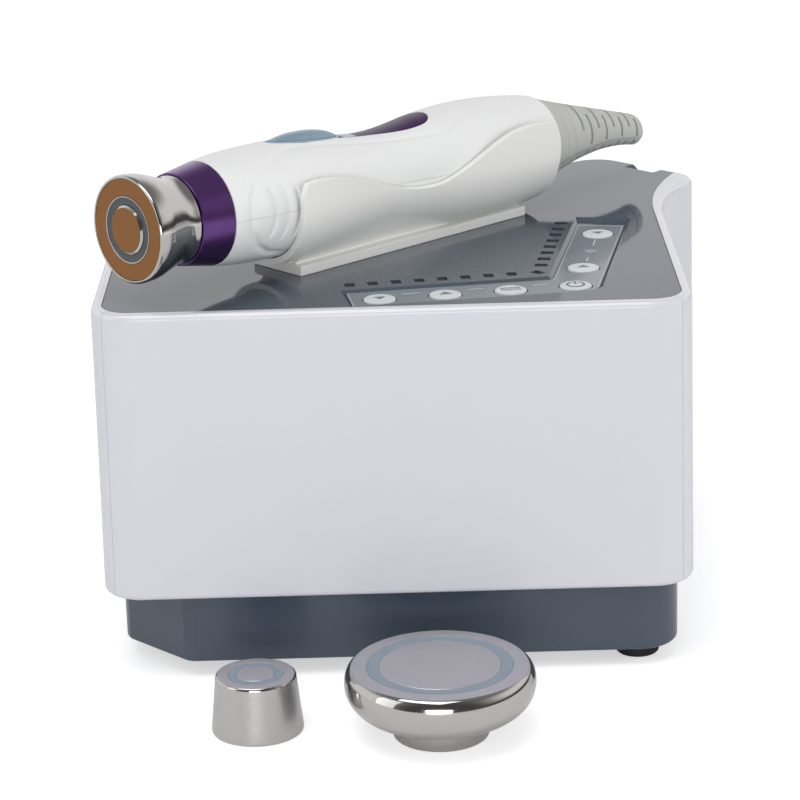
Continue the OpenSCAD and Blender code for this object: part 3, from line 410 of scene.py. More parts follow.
# Keypad: a row along the front and a column to the back, both from the power key
KEY_0 = (65.0, 26.0)
KEY_PITCH = 23.3
ROW_TURN, COLUMN_TURN = 8.4, 10.4
ROW = (-math.cos(math.radians(ROW_TURN)), -math.sin(math.radians(ROW_TURN)))
ROW_UP = (ROW[1], -ROW[0])
COLUMN = (math.sin(math.radians(COLUMN_TURN)), math.cos(math.radians(COLUMN_TURN)))
COLUMN_LEFT = (-COLUMN[1], COLUMN[0])
ROW_LEN, COLUMN_LEN = 3 * KEY_PITCH + 10.5, 3 * KEY_PITCH + 20
# Sides of the keypad's recess from the lines of keys, inside and outside its angle
ROW_IN, COLUMN_IN, ROW_OUT, COLUMN_OUT = 10.5, 9.2, 7.4, 8.6


def row_at(s, t):
    """Plan point s along the row from the power key and t behind it."""
    return (KEY_0[0] + s * ROW[0] + t * ROW_UP[0], KEY_0[1] + s * ROW[1] + t * ROW_UP[1])


def column_at(s, t):
    """Plan point s along the column from the power key and t to the left of it."""
    return (
        KEY_0[0] + s * COLUMN[0] + t * COLUMN_LEFT[0],
        KEY_0[1] + s * COLUMN[1] + t * COLUMN_LEFT[1],
    )


def crossing(a, b):
    """Where the line a behind the row meets the line b left of the column."""
    d = ROW[0] * COLUMN[1] - ROW[1] * COLUMN[0]
    p, q = row_at(0, a), column_at(0, b)
    s = ((q[0] - p[0]) * COLUMN[1] - (q[1] - p[1]) * COLUMN[0]) / d
    return row_at(s, a)


def keypad_outline(grow, len_c=COLUMN_LEN):
    """Plan of the keypad's L, grown on all sides; len_c is the reach of its column."""
    len_r, len_c = ROW_LEN + grow, len_c + grow
    in_r, in_c, out_r, out_c = (x + grow for x in (ROW_IN, COLUMN_IN, ROW_OUT, COLUMN_OUT))
    return [
        row_at(len_r, in_r), row_at(len_r, -out_r), crossing(-out_r, -out_c),
        column_at(len_c, -out_c), column_at(len_c, in_c), crossing(in_r, in_c),
    ]


KEY_PLACES = {
    "down": row_at(3 * KEY_PITCH, 0), "up": row_at(2 * KEY_PITCH, 0),
    "mode": row_at(KEY_PITCH, 0), "power": KEY_0,
    "next": column_at(KEY_PITCH, 0), "start": column_at(3 * KEY_PITCH, 0),
}
CORNER_LAMP = crossing(18.1, 15.3)
LAMP_PITCH, LAMP_LEAD, LAMP_COUNT = 8.35, 1.2, 8


def lamps_along(way, degrees):
    """Lamp windows (x, y, turn) in a line from the corner lamp."""
    steps = [i * LAMP_PITCH + LAMP_LEAD for i in range(1, LAMP_COUNT + 1)]
    return [(CORNER_LAMP[0] + s * way[0], CORNER_LAMP[1] + s * way[1], degrees) for s in steps]


LAMPS = (
    lamps_along(ROW, ROW_TURN) + [(*CORNER_LAMP, 45)] + lamps_along(COLUMN, 90 - COLUMN_TURN)
)

# Radius of the handpiece along its axis
BODY_START, BODY_END = 33.4, 197.0
BODY_LINE = np.array([
    (33.4, 18.8), (38, 19.5), (46, 20.25), (56, 20.62), (64, 20.7), (70, 20.55), (75, 20.25),
    (82, 19.7), (90, 18.85), (96, 18.1), (102, 17.4), (108, 17.03), (113, 17.0), (118, 17.2),
    (124, 17.75), (130, 18.55), (135, 19.3), (141, 20.1), (147, 20.7), (155, 21.15), (162, 21.2),
    (170, 20.95), (178, 20.4), (186, 19.5), (192.5, 18.6), (197, 17.9),
])


def smooth_line(line):
    """A curve through the points without corners (cubic Hermite, slopes from neighbours)."""
    xs, ys = line[:, 0], line[:, 1]
    slopes = np.gradient(ys, xs)

    def at(x):
        x = np.clip(np.asarray(x, float), xs[0], xs[-1])
        i = np.clip(np.searchsorted(xs, x, side="right") - 1, 0, len(xs) - 2)
        h = xs[i + 1] - xs[i]
        t = (x - xs[i]) / h
        return (
            (2 * t**3 - 3 * t**2 + 1) * ys[i] + (t**3 - 2 * t**2 + t) * h * slopes[i]
            + (3 * t**2 - 2 * t**3) * ys[i + 1] + (t**3 - t**2) * h * slopes[i + 1]
        )

    return at


body_r = smooth_line(BODY_LINE)
cradle_edge = smooth_line(np.array([
    (60.6, 3.8), (62.2, 8.3), (65.5, 9.8), (71.1, 9.9), (81.2, 8.6), (90.3, 6.2), (102.3, 2.2),
    (111.6, -0.6), (122.0, -2.1), (131.8, -1.5), (141.7, 2.2), (152.3, 7.3), (163.6, 11.8),
    (172, 13.1), (180, 13.0), (187.9, 11.4), (191.4, 8.5), (192.5, 5.5),
]))
crest = smooth_line(np.array([
    (64.5, 20.75), (68, 21.45), (72, 22.05), (75, 22.35), (80, 22.5), (87.6, 22.1),
    (95.3, 20.6), (99, 19.2), (101.5, 17.9),
]))
INLAY_START, INLAY_END, INLAY_NECK, INLAY_W = 104.5, 140.5, 3.1, 7.2
# Button's well: its two ends, and how much fuller it is towards the front
WELL_START, WELL_END, LEAF = 64.5, 97.5, 0.12
CREST_LEN = 37  # length over which the crest's line runs


def ease(t):
    """Runs from 0 to 1 without corners."""
    t = np.clip(t, 0, 1)
    return (1 - np.cos(np.pi * t)) / 2


def inlay_half(x):
    """Half width of the inlay: a neck that swells to a round end."""
    round_x = INLAY_END - INLAY_W
    swell = INLAY_NECK + (INLAY_W - INLAY_NECK) * ease((x - INLAY_START) / (round_x - INLAY_START))
    end = np.sqrt(np.clip(INLAY_W**2 - np.clip(x - round_x, 0, None) ** 2, 0, None))
    return np.where(x > round_x, end, swell)


def oval(x0, x1, half_w, count):
    """Leaf-shaped outline between two ends."""
    turns = [2 * math.pi * i / count for i in range(count)]
    return [
        ((x0 + x1) / 2 - (x1 - x0) / 2 * math.cos(a),
         half_w * math.sin(a) * (1 + LEAF * math.cos(a)))
        for a in turns
    ]


# ---------------------------------------------------------------- effects shared by the finishes
def effect(name, inputs, outputs):
    """An empty node group with named inputs (name, kind, value) and outputs (name, kind)."""
    tree = bpy.data.node_groups.new(name, "ShaderNodeTree")
    for label, kind, value in inputs:
        socket = tree.interface.new_socket(label, in_out="INPUT", socket_type=kind)
        if value is not None:
            socket.default_value = value
    for label, kind in outputs:
        tree.interface.new_socket(label, in_out="OUTPUT", socket_type=kind)
    return tree, tree.nodes.new("NodeGroupInput"), tree.nodes.new("NodeGroupOutput")


def node(tree, kind, links=(), **values):
    """Adds a node, sets its values and links outputs into its inputs."""
    made = tree.nodes.new(kind)
    for key, value in values.items():
        if key.startswith("in_"):
            slot = key[3:]
            made.inputs[int(slot) if slot.isdigit() else slot].default_value = value
        else:
            setattr(made, key, value)
    for source, target in links:
        tree.links.new(source, made.inputs[target])
    return made


def ramp(tree, source, low, high, **values):
    """Output that runs from 0 to 1 while the source runs from low to high."""
    made = node(tree, "ShaderNodeMapRange", [(source, "Value")],
                **{"in_From Min": low, "in_From Max": high}, **values)
    return made.outputs["Result"]


def product(tree, a, b):
    """Output of two outputs multiplied, or of an output and a number."""
    if isinstance(b, float):
        return node(tree, "ShaderNodeMath", [(a, 0)], operation="MULTIPLY", in_1=b).outputs[0]
    return node(tree, "ShaderNodeMath", [(a, 0), (b, 1)], operation="MULTIPLY").outputs[0]


def seen_rays(tree, rays):
    """Output that is 1 for what the eye sees, also through clear pieces."""
    return node(tree, "ShaderNodeMath", [(rays.outputs["Is Camera Ray"], 0),
                (rays.outputs["Is Transmission Ray"], 1)], operation="MAXIMUM").outputs[0]


def moulded_grain():
    """Fine texture of moulded plastic, and its slow change of shade from place to place."""
    tree, given, out = effect(
        "moulded_grain",
        [("Place", "NodeSocketVector", None), ("Size", "NodeSocketFloat", 1500.0)],
        [("Height", "NodeSocketFloat"), ("Mottle", "NodeSocketFloat")],
    )
    fine = node(tree, "ShaderNodeTexNoise", [(given.outputs["Place"], "Vector"),
                (given.outputs["Size"], "Scale")], in_Detail=3.0, in_Roughness=0.55)
    slow = node(tree, "ShaderNodeTexNoise", [(given.outputs["Place"], "Vector")],
                in_Scale=14.0, in_Detail=2.0)
    tree.links.new(fine.outputs["Fac"], out.inputs["Height"])
    tree.links.new(slow.outputs["Fac"], out.inputs["Mottle"])
    return tree


def handling_marks():
    """Smudges and faint wiping marks that change how glossy a surface is."""
    tree, given, out = effect(
        "handling_marks",
        [("Place", "NodeSocketVector", None), ("Size", "NodeSocketFloat", 45.0)],
        [("Marks", "NodeSocketFloat")],
    )
    cloud = node(tree, "ShaderNodeTexNoise", [(given.outputs["Place"], "Vector"),
                 (given.outputs["Size"], "Scale")], in_Detail=6.0, in_Roughness=0.65,
                 in_Distortion=0.6)
    tree.links.new(ramp(tree, cloud.outputs["Fac"], 0.42, 0.68), out.inputs["Marks"])
    return tree


def worn_and_shaded_edges():
    """Mask of outer edges, broken up by noise, where most finishes are rubbed a little paler by
    wear and the violet collar gets painted shade along its rims.
    """
    tree, given, out = effect(
        "worn_and_shaded_edges",
        [("Place", "NodeSocketVector", None)],
        [("Mask", "NodeSocketFloat")],
    )
    shape = node(tree, "ShaderNodeNewGeometry")
    edge = ramp(tree, shape.outputs["Pointiness"], 0.52, 0.62)
    breaks = node(tree, "ShaderNodeTexNoise", [(given.outputs["Place"], "Vector")],
                  in_Scale=260.0, in_Detail=4.0)
    tree.links.new(product(tree, edge, breaks.outputs["Fac"]), out.inputs["Mask"])
    return tree


def settled_dust():
    """Specks of dust on faces that look up."""
    tree, given, out = effect(
        "settled_dust",
        [("Place", "NodeSocketVector", None)],
        [("Mask", "NodeSocketFloat")],
    )
    shape = node(tree, "ShaderNodeNewGeometry")
    parts = node(tree, "ShaderNodeSeparateXYZ", [(shape.outputs["Normal"], 0)])
    up = ramp(tree, parts.outputs["Z"], 0.4, 1.0)
    specks = node(tree, "ShaderNodeTexNoise", [(given.outputs["Place"], "Vector")],
                  in_Scale=900.0, in_Detail=2.0)
    few = ramp(tree, specks.outputs["Fac"], 0.66, 0.78)
    tree.links.new(product(tree, up, few), out.inputs["Mask"])
    return tree


def brushed_lines():
    """Fine parallel lines along the x axis of the given place."""
    tree, given, out = effect(
        "brushed_lines",
        [("Place", "NodeSocketVector", None), ("Size", "NodeSocketFloat", 900.0)],
        [("Lines", "NodeSocketFloat")],
    )
    squeezed = node(tree, "ShaderNodeVectorMath", [(given.outputs["Place"], 0)],
                    operation="MULTIPLY", in_1=(0.03, 1.0, 1.0))
    lines = node(tree, "ShaderNodeTexNoise", [(squeezed.outputs[0], "Vector"),
                 (given.outputs["Size"], "Scale")], in_Detail=4.0, in_Roughness=0.6)
    tree.links.new(lines.outputs["Fac"], out.inputs["Lines"])
    return tree


GRAIN, MARKS, EDGES, DUST, LINES = (
    moulded_grain(), handling_marks(), worn_and_shaded_edges(), settled_dust(), brushed_lines()
)


def linear(*colour):
    """A colour given as 0 to 255 in sRGB, as the shader wants it."""
    parts = [c / 255 for c in colour]
    return tuple(c / 12.92 if c <= 0.04045 else ((c + 0.055) / 1.055) ** 2.4 for c in parts) + (1,)


DUST_COLOUR = (205, 205, 203)
BUMP_DEPTH = 0.0004  # metres between the lowest and the highest of the grain


def finish(name, colour, rough, metallic=0.0, coat=0.0, coat_rough=0.03, grain=1500.0, bump=0.02,
           mottle=0.06, marks=0.06, edge_wear_and_shade=0.0, dust=0.0, lines=0.0, line_size=900.0,
           edge_colour=None, **sockets):
    """A material with grain, marks, worn edges and dust in the amounts given; a dark edge colour,
    as on the violet collar, is painted shade along the rims in place of wear.
    """
    material = bpy.data.materials.new(name)
    material.use_nodes = True
    tree = material.node_tree
    shader = tree.nodes["Principled BSDF"]
    shader.inputs["Metallic"].default_value = metallic
    shader.inputs["Coat Weight"].default_value = coat
    shader.inputs["Coat Roughness"].default_value = coat_rough
    for key, value in sockets.items():
        shader.inputs[key.replace("_", " ")].default_value = value
    place = node(tree, "ShaderNodeTexCoord").outputs["Object"]

    def use(group, **values):
        made = node(tree, "ShaderNodeGroup", node_tree=group)
        for key, value in values.items():
            made.inputs[key].default_value = value
        tree.links.new(place, made.inputs["Place"])
        return made

    def covered(under, group, share, over):
        """Lays the colour over the one under it, by the share, where the group's mask is."""
        amount = product(tree, use(group).outputs["Mask"], share)
        return node(tree, "ShaderNodeMix", [(amount, 0), (under, 6)], data_type="RGBA",
                    in_7=linear(*over)).outputs[2]

    base = linear(*colour)
    grained = use(GRAIN, Size=grain)
    shade = node(tree, "ShaderNodeMix", [(grained.outputs["Mottle"], 0)], data_type="RGBA")
    shade.inputs[6].default_value = tuple(c * (1 - mottle) for c in base[:3]) + (1,)
    shade.inputs[7].default_value = tuple(min(1, c * (1 + mottle)) for c in base[:3]) + (1,)
    colour_out = shade.outputs[2]
    # Edge colour: paler where wear rubs most finishes; on the violet collar a near-black painted
    # shade along its rims.
    if edge_wear_and_shade:
        edge_wear_and_shade_tone = edge_colour or [min(255, c + 40) for c in colour]
        colour_out = covered(colour_out, EDGES, edge_wear_and_shade, edge_wear_and_shade_tone)
    if dust:
        colour_out = covered(colour_out, DUST, dust, DUST_COLOUR)
    tree.links.new(colour_out, shader.inputs["Base Color"])

    smudged = use(MARKS)
    uneven = node(tree, "ShaderNodeMath", [(smudged.outputs["Marks"], 0)],
                  operation="MULTIPLY_ADD", in_1=marks, in_2=rough)
    rough_out = uneven.outputs[0]
    height = grained.outputs["Height"]
    if lines:
        height = use(LINES, Size=line_size).outputs["Lines"]
        added = node(tree, "ShaderNodeMath", [(height, 0), (rough_out, 2)],
                     operation="MULTIPLY_ADD", in_1=lines)
        rough_out = added.outputs[0]
    tree.links.new(rough_out, shader.inputs["Roughness"])
    raised = node(tree, "ShaderNodeBump", [(height, "Height")], in_Strength=bump,
                  in_Distance=BUMP_DEPTH)
    tree.links.new(raised.outputs["Normal"], shader.inputs["Normal"])
    return material


WHITE_ABS = finish("gloss_white_abs", (214, 214, 222), 0.2, grain=1100, bump=0.05, mottle=0.012,
                   marks=0.05, coat=0.6, coat_rough=0.03, dust=0.05)
HAND_WHITE = finish("satin_white_abs", (229, 230, 229), 0.36, grain=1600, bump=0.08,
                    mottle=0.012, marks=0.06, dust=0.03)
CRADLE_WHITE = finish("cradle_white_abs", (235, 235, 232), 0.3, grain=1300, bump=0.07,
                      mottle=0.015, marks=0.06, dust=0.06)
SLATE_PANEL = finish("gloss_slate_panel", (78, 87, 98), 0.05, grain=900, bump=0.015,
                     mottle=0.04, marks=0.03, dust=0.2, IOR=1.46)
SLATE_TRAY = finish("gloss_slate_tray", (63, 74, 88), 0.2, grain=1200, bump=0.05, mottle=0.04,
                    marks=0.07, coat=0.3, coat_rough=0.08, edge_wear_and_shade=0.35, dust=0.15)
KEYPAD_FILM = finish("keypad_film", (110, 120, 132), 0.13, grain=2200, bump=0.06, mottle=0.03,
                     marks=0.08, coat=0.4, coat_rough=0.05, dust=0.2)
# Paler strip along the keypad film's edge: a painted highlight.
FILM_EDGE_HIGHLIGHT = finish("film_edge_painted_highlight", (150, 160, 170), 0.2, grain=2200, bump=0.05, mottle=0.03,
                   coat=0.3, coat_rough=0.05)
KEY_WHITE = finish("key_white", (213, 218, 222), 0.28, grain=2000, bump=0.05, mottle=0.02,
                   marks=0.06, edge_wear_and_shade=0.1)
PRINT_GREY = finish("key_print", (108, 114, 120), 0.4, grain=2600, bump=0.04, mottle=0.05)
LAMP_LENS = finish("lamp_window", (92, 86, 82), 0.12, grain=2000, bump=0.03, mottle=0.08,
                   coat=0.5, edge_wear_and_shade=0.2)
RUBBER = finish("black_rubber", (24, 24, 26), 0.62, grain=2600, bump=0.25, mottle=0.12, dust=0.5)
STEEL = finish("screw_steel", (182, 184, 186), 0.26, metallic=1.0, grain=1800, bump=0.06,
               mottle=0.05, marks=0.12, edge_wear_and_shade=0.2)
BOARD_GREEN = finish("circuit_board", (28, 84, 52), 0.34, grain=420, bump=0.2, mottle=0.2,
                     marks=0.1, dust=0.3)
BLACK_PLASTIC = finish("black_plastic", (30, 31, 34), 0.35, grain=1500, bump=0.12, mottle=0.1,
                       marks=0.1, dust=0.25)
CORE = finish("transformer_core", (120, 98, 72), 0.45, metallic=0.6, grain=600, bump=0.2,
              mottle=0.15, lines=0.2, line_size=1400.0)
SINK = finish("heat_sink_aluminium", (176, 179, 183), 0.3, metallic=1.0, mottle=0.05, lines=0.25,
              bump=0.1)
GOLD = finish("gold_contacts", (212, 172, 86), 0.2, metallic=1.0, mottle=0.05, edge_wear_and_shade=0.2)
# Near-black edge colour: painted shade along the collar's rims, laid with the edge mask.
VIOLET = finish("violet_anodised", (104, 62, 132), 0.27, metallic=0.95, grain=1200, bump=0.03,
                mottle=0.08, marks=0.06, coat=0.5, coat_rough=0.26, edge_wear_and_shade=0.9,
                edge_colour=(20, 12, 28))
VIOLET_INLAY = finish("violet_inlay", (58, 28, 72), 0.3, grain=1500, bump=0.03, mottle=0.08,
                      marks=0.08, Specular_IOR_Level=0.25)
BUTTON_BLUE = finish("button_blue_grey", (124, 146, 162), 0.24, grain=1500, bump=0.05,
                     mottle=0.03, marks=0.08, coat=0.3, coat_rough=0.08, edge_wear_and_shade=0.15)
FRAME_BLUE = finish("frame_blue_grey", (163, 178, 196), 0.28, grain=1500, bump=0.05,
                    mottle=0.03, marks=0.06)
BOOT_GREY = finish("boot_grey", (185, 186, 183), 0.48, grain=1500, bump=0.16, mottle=0.03,
                   marks=0.08, dust=0.06)
CHROME = finish("polished_chrome", (192, 190, 186), 0.06, metallic=1.0, grain=500, bump=0.012,
                mottle=0.05, marks=0.08)
TURNED_STEEL = finish("turned_steel", (193, 191, 189), 0.17, metallic=1.0, mottle=0.06,
                      bump=0.05, marks=0.1, lines=0.08, line_size=1800.0)
BRONZE = finish("face_bronze", (138, 93, 46), 0.34, metallic=0.6, grain=1500, bump=0.05,
                mottle=0.05, marks=0.06, lines=0.08)
RING_SLATE = finish("ring_slate", (70, 74, 80), 0.4, grain=1600, bump=0.08, mottle=0.06)
RING_BLUE = finish("ring_blue_grey", (134, 147, 161), 0.42, grain=1800, bump=0.08, mottle=0.04)
BRUSHED = finish("brushed_steel", (203, 201, 205), 0.24, metallic=1.0, mottle=0.07, lines=0.22,
                 bump=0.16, marks=0.06, line_size=1500.0)
NODE_FINISH = {
    "white_housing": WHITE_ABS, "slate_panel": SLATE_PANEL, "keypad_film": KEYPAD_FILM,
    "white_keys": KEY_WHITE, "lamp_lens": LAMP_LENS, "slate_tray": SLATE_TRAY,
    "black_rubber": RUBBER, "steel_screws": STEEL, "green_board": BOARD_GREEN,
    "black_plastic": BLACK_PLASTIC, "transformer_core": CORE, "sink_aluminium": SINK,
    "gold_contacts": GOLD, "cradle_white": CRADLE_WHITE, "handpiece_white": HAND_WHITE,
    "violet_anodised": VIOLET, "button_blue": BUTTON_BLUE, "frame_blue": FRAME_BLUE,
    "violet_inlay": VIOLET_INLAY, "grey_boot": BOOT_GREY, "head_chrome": CHROME,
    "face_bronze": BRONZE, "ring_slate": RING_SLATE, "ring_blue": RING_BLUE,
    "disc_steel": BRUSHED,
}


def dress_nodes():
    """Gives every carried-over node the finish of its material slot."""
    slots = {s["node"]: s["material_slot"] for s in frame["record"]["subparts"]}
    for name, solid in frame["nodes"].items():
        dressed(solid, NODE_FINISH[slots[name]])


# ---------------------------------------------------------------- room
def light_room():
    scene = bpy.context.scene
    scene.view_settings.view_transform = "Standard"
    world = bpy.data.worlds.new("studio")
    scene.world = world
    world.use_nodes = True
    tree = world.node_tree
    tree.nodes.clear()
    rays = node(tree, "ShaderNodeLightPath")
    seen = seen_rays(tree, rays)
    # What gloss shows: white behind, but dark towards the eye, low on the right and overhead
    direction = node(tree, "ShaderNodeTexCoord")
    parts = node(tree, "ShaderNodeSeparateXYZ", [(direction.outputs["Generated"], 0)])

    def soft(axis, low, high, **values):
        return ramp(tree, parts.outputs[axis], low, high, interpolation_type="SMOOTHSTEP",
                    **values)

    behind, on_right, low_down = soft("Y", -0.8, 0.1), soft("X", 0.3, 0.85), soft("Z", 0.24, 0.08)
    under_roof = soft("Z", 0.45, 0.8, **{"in_To Min": 1.0, "in_To Max": 0.2})
    corner = product(tree, on_right, low_down)
    away = node(tree, "ShaderNodeMath", [(corner, 1)], operation="SUBTRACT", in_0=1.0)
    lit = product(tree, product(tree, behind, away.outputs[0]), under_roof)
    level = node(tree, "ShaderNodeMix", [(lit, 0)], data_type="RGBA",
                 in_6=(0.08, 0.08, 0.08, 1), in_7=(0.98, 0.98, 0.98, 1))
    gloss = node(tree, "ShaderNodeBackground", [(level.outputs[2], "Color")], in_Strength=1.0)
    around = node(tree, "ShaderNodeBackground", in_Color=(1, 1, 1, 1), in_Strength=0.47)
    white = node(tree, "ShaderNodeBackground", in_Color=(1, 1, 1, 1), in_Strength=1.0)
    first = node(tree, "ShaderNodeMixShader", [(rays.outputs["Is Glossy Ray"], 0),
                 (around.outputs[0], 1), (gloss.outputs[0], 2)])
    second = node(tree, "ShaderNodeMixShader", [(seen, 0), (first.outputs[0], 1),
                  (white.outputs[0], 2)])
    tree.nodes.active = node(tree, "ShaderNodeOutputWorld", [(second.outputs[0], "Surface")])
    for name, at, size, power, in_gloss in (
        ("top_softbox", (-0.35, -0.55, 1.9), (1.5, 1.1), 14.0, True),
        ("left_softbox", (-1.7, -0.75, 0.75), (0.9, 1.5), 4.5, True),
        ("right_softbox", (1.8, -0.5, 0.55), (1.0, 0.9), 9.4, False),
        ("front_softbox", (-0.1, -2.2, 0.25), (1.1, 0.5), 10.5, True),
    ):
        lamp = bpy.data.lights.new(name, "AREA")
        lamp.shape = "RECTANGLE"
        lamp.size, lamp.size_y = size
        lamp.energy = power
        holder = bpy.data.objects.new(name, lamp)
        scene.collection.objects.link(holder)
        holder.visible_glossy = in_gloss
        holder.location = at
        towards = Vector((0, 0, 0.08)) - Vector(at)
        holder.rotation_euler = towards.to_track_quat("-Z", "Y").to_euler()


def lay_floor():
    """A pale floor that shows white to the eye and to gloss, and keeps the soft shadow."""
    nothing_selected()
    bpy.ops.mesh.primitive_plane_add(size=12, location=(0, 0, 0))
    floor = named("floor")
    material = bpy.data.materials.new("pale_floor")
    material.use_nodes = True
    tree = material.node_tree
    shader = tree.nodes["Principled BSDF"]
    shader.inputs["Base Color"].default_value = (0.8, 0.8, 0.81, 1)
    shader.inputs["Roughness"].default_value = 0.9
    shader.inputs["Specular IOR Level"].default_value = 0.0
    rays = node(tree, "ShaderNodeLightPath")
    mirrored = product(tree, rays.outputs["Is Glossy Ray"], 0.12)
    glow = node(tree, "ShaderNodeMath", [(seen_rays(tree, rays), 0), (mirrored, 2)],
                operation="MULTIPLY_ADD", in_1=0.55)
    light = node(tree, "ShaderNodeEmission", [(glow.outputs[0], "Strength")],
                 in_Color=(1, 1, 1, 1))
    both = node(tree, "ShaderNodeAddShader", [(shader.outputs[0], 0), (light.outputs[0], 1)])
    tree.links.new(both.outputs[0], tree.nodes["Material Output"].inputs["Surface"])
    floor.data.materials.append(material)


# Camera: its place in metres, its tilt from looking straight down, and its slight roll
CAMERA_AT, CAMERA_TILT, CAMERA_ROLL = (-0.005907, -1.055257, 0.4314), math.radians(71.75), -0.0275


def set_camera():
    lens = bpy.data.cameras.new("camera")
    lens.lens, lens.sensor_width = 135, 36
    lens.clip_start, lens.clip_end = 0.05, 30
    camera = bpy.data.objects.new("camera", lens)
    bpy.context.scene.collection.objects.link(camera)
    camera.matrix_world = (
        Matrix.Translation(CAMERA_AT)
        @ Matrix.Rotation(CAMERA_TILT, 4, "X")
        @ Matrix.Rotation(CAMERA_ROLL, 4, "Z")
    )
    bpy.context.scene.camera = camera


light_room()
lay_floor()
set_camera()
dress_nodes()


# ---------------------------------------------------------------- console
# Draft of the housing: how far its foot stands out, and the share left of its top
DRAFT, DRAFT_SHARE = 0.7, 0.9935
# Groove for the lead, from the ear's tip outwards
EAR_TIP, GROOVE_OFF, GROOVE_Z, GROOVE_R = (105.42, 194.42), 9.55, 142.6, 9
# Back: vents, mains inlet and handpiece socket
VENT_X, VENT_Z, VENT_PITCH, VENT_COUNT, VENT_SIZE = -35, 94, 6, 9, (2.6, 10, 26)
REAR_Z, INLET_X, INLET_SIZE, SOCKET_X, SOCKET_R = 60.4, -58, (28, 10, 20), -12, 8.15
# Keypad's recess with its sloping sides, the holes for the keys, and the film in it
RECESS_DEEP, RECESS_FLARE, RECESS_ROUND = 1.3, 1.6, 5.5
KEY_HOLE_R, FILM_T, FILM_GAP, FILM_SHORT = 6.05, 0.5, 0.2, 6.5


def housing_body():
    """Solid of the housing with its draft and rolled edges."""
    body = prism("housing", housing_outline(-DRAFT), HOUSING_Z, TOP_Z)
    pick_faces(body, lambda c, n: n.z > 0.9)
    bpy.ops.transform.resize(value=(DRAFT_SHARE, DRAFT_SHARE, 1),
                             center_override=(0, BACK_Y / 2, TOP_Z))
    close_mesh()
    pick_edges(body, lambda a, b: abs(a.z - b.z) < 0.01)
    bpy.ops.mesh.bevel(offset=2, segments=7, affect="EDGES")
    close_mesh()
    return body


def make_housing():
    """Front cover and housing shell: hollow, open for the panel, with rear sockets and vents."""
    shell = housing_body()
    panel = copied(shell, "top_panel")
    below, above = HOUSING_Z - 5, TOP_Z + 5
    cut(shell, prism("hollow", housing_outline(WALL), below, SEAT_Z - 2))
    opening = prism("opening", housing_outline(RIM_W + WALL + 1), below, above)
    ledge = prism("ledge", panel_window(-WALL), below - 4, above + 4)
    cut(shell, cut(opening, ledge, "INTERSECT"))
    cut(shell, prism("seat", panel_window(0.15), SEAT_Z, above))
    for piece in (shell, panel):
        cut(piece, drum("lead_groove", EAR_TIP[0] + GROOVE_OFF, EAR_TIP[1] + GROOVE_OFF, GROOVE_Z,
                        GROOVE_R, 40, (0, 90, 45)))
    x, y = SIDE_X - CORNER_R, CORNER_R

    def front_zone(gap):
        return prism("front_zone", [(-x, y - gap), (-x - 40 + gap, y - 40), (x + 40 - gap, y - 40),
                                    (x, y - gap)], below, above)

    cover = cut(copied(shell, "front_cover"), front_zone(0.15), "INTERSECT")
    cut(shell, front_zone(0))
    softened(cover, 0.28, 2, 50)
    mended(softened(shell, 0.28, 2, 50))
    places = [VENT_X + (i - VENT_COUNT // 2) * VENT_PITCH for i in range(VENT_COUNT)]
    vents = [softened(block("vent", (x, BACK_Y, VENT_Z), VENT_SIZE), 1.2, 4) for x in places]
    cut(shell, joined("vents", vents))
    cut(shell, block("inlet_hole", (INLET_X, BACK_Y, REAR_Z), INLET_SIZE))
    cut(shell, drum("socket_hole", SOCKET_X, BACK_Y, REAR_Z, SOCKET_R, 10, (90, 0, 0)))
    for piece, node_name in ((cover, "front_cover"), (shell, "housing_shell")):
        shaded(piece, 32, 100)
        renamed(piece, node_name + "_wall")
        place_piece(piece, CONSOLE, "console", WHITE_ABS, "white_housing", node_name)
    return panel


def corner_rounded(piece, corner, reach, deep, radius):
    """Rounds the upright edge that stands at the corner."""
    pick_edges(piece, lambda a, b: abs(a.z - b.z) > deep
               and near(a, corner, reach) and near(b, corner, reach))
    bpy.ops.mesh.bevel(offset=radius, segments=10, affect="EDGES")
    close_mesh()


def key_holes():
    """Tools for the six round holes, through the panel or the film."""
    return [drum("key_hole", x, y, 136, KEY_HOLE_R, 8) for x, y in KEY_PLACES.values()]


def make_panel(panel):
    """Glossy top panel with the keypad recess, key holes and lamp windows."""
    cut(panel, prism("window", panel_window(0), SEAT_Z, PANEL_Z), "INTERSECT")
    top = PANEL_Z + 1
    flare = RECESS_FLARE * (top - RECESS_Z) / RECESS_DEEP
    tool = prism("recess", keypad_outline(0), RECESS_Z, top)
    for low, high in zip(keypad_outline(0), keypad_outline(flare)):
        pick_corners(tool, lambda p: p.z > top - 0.01 and near(p, low, 0.01))
        bpy.ops.transform.translate(value=(high[0] - low[0], high[1] - low[1], 0))
        close_mesh()
    corner_rounded(tool, crossing(-ROW_OUT, -COLUMN_OUT), 5, 1, RECESS_ROUND)
    cut(panel, tool)
    mended(softened(panel, 0.18, 2, 30))
    holes = key_holes()
    for x, y, angle in LAMPS:
        holes.append(set_at(block("lamp_hole", (0, 0, 136), (3.6, 4.6, 6)), x, y, angle))
    cut(panel, joined("holes", holes))
    shaded(panel, 12, 100)
    renamed(panel, "panel_plate")
    place_piece(panel, CONSOLE, "console", SLATE_PANEL, "slate_panel", "top_panel")


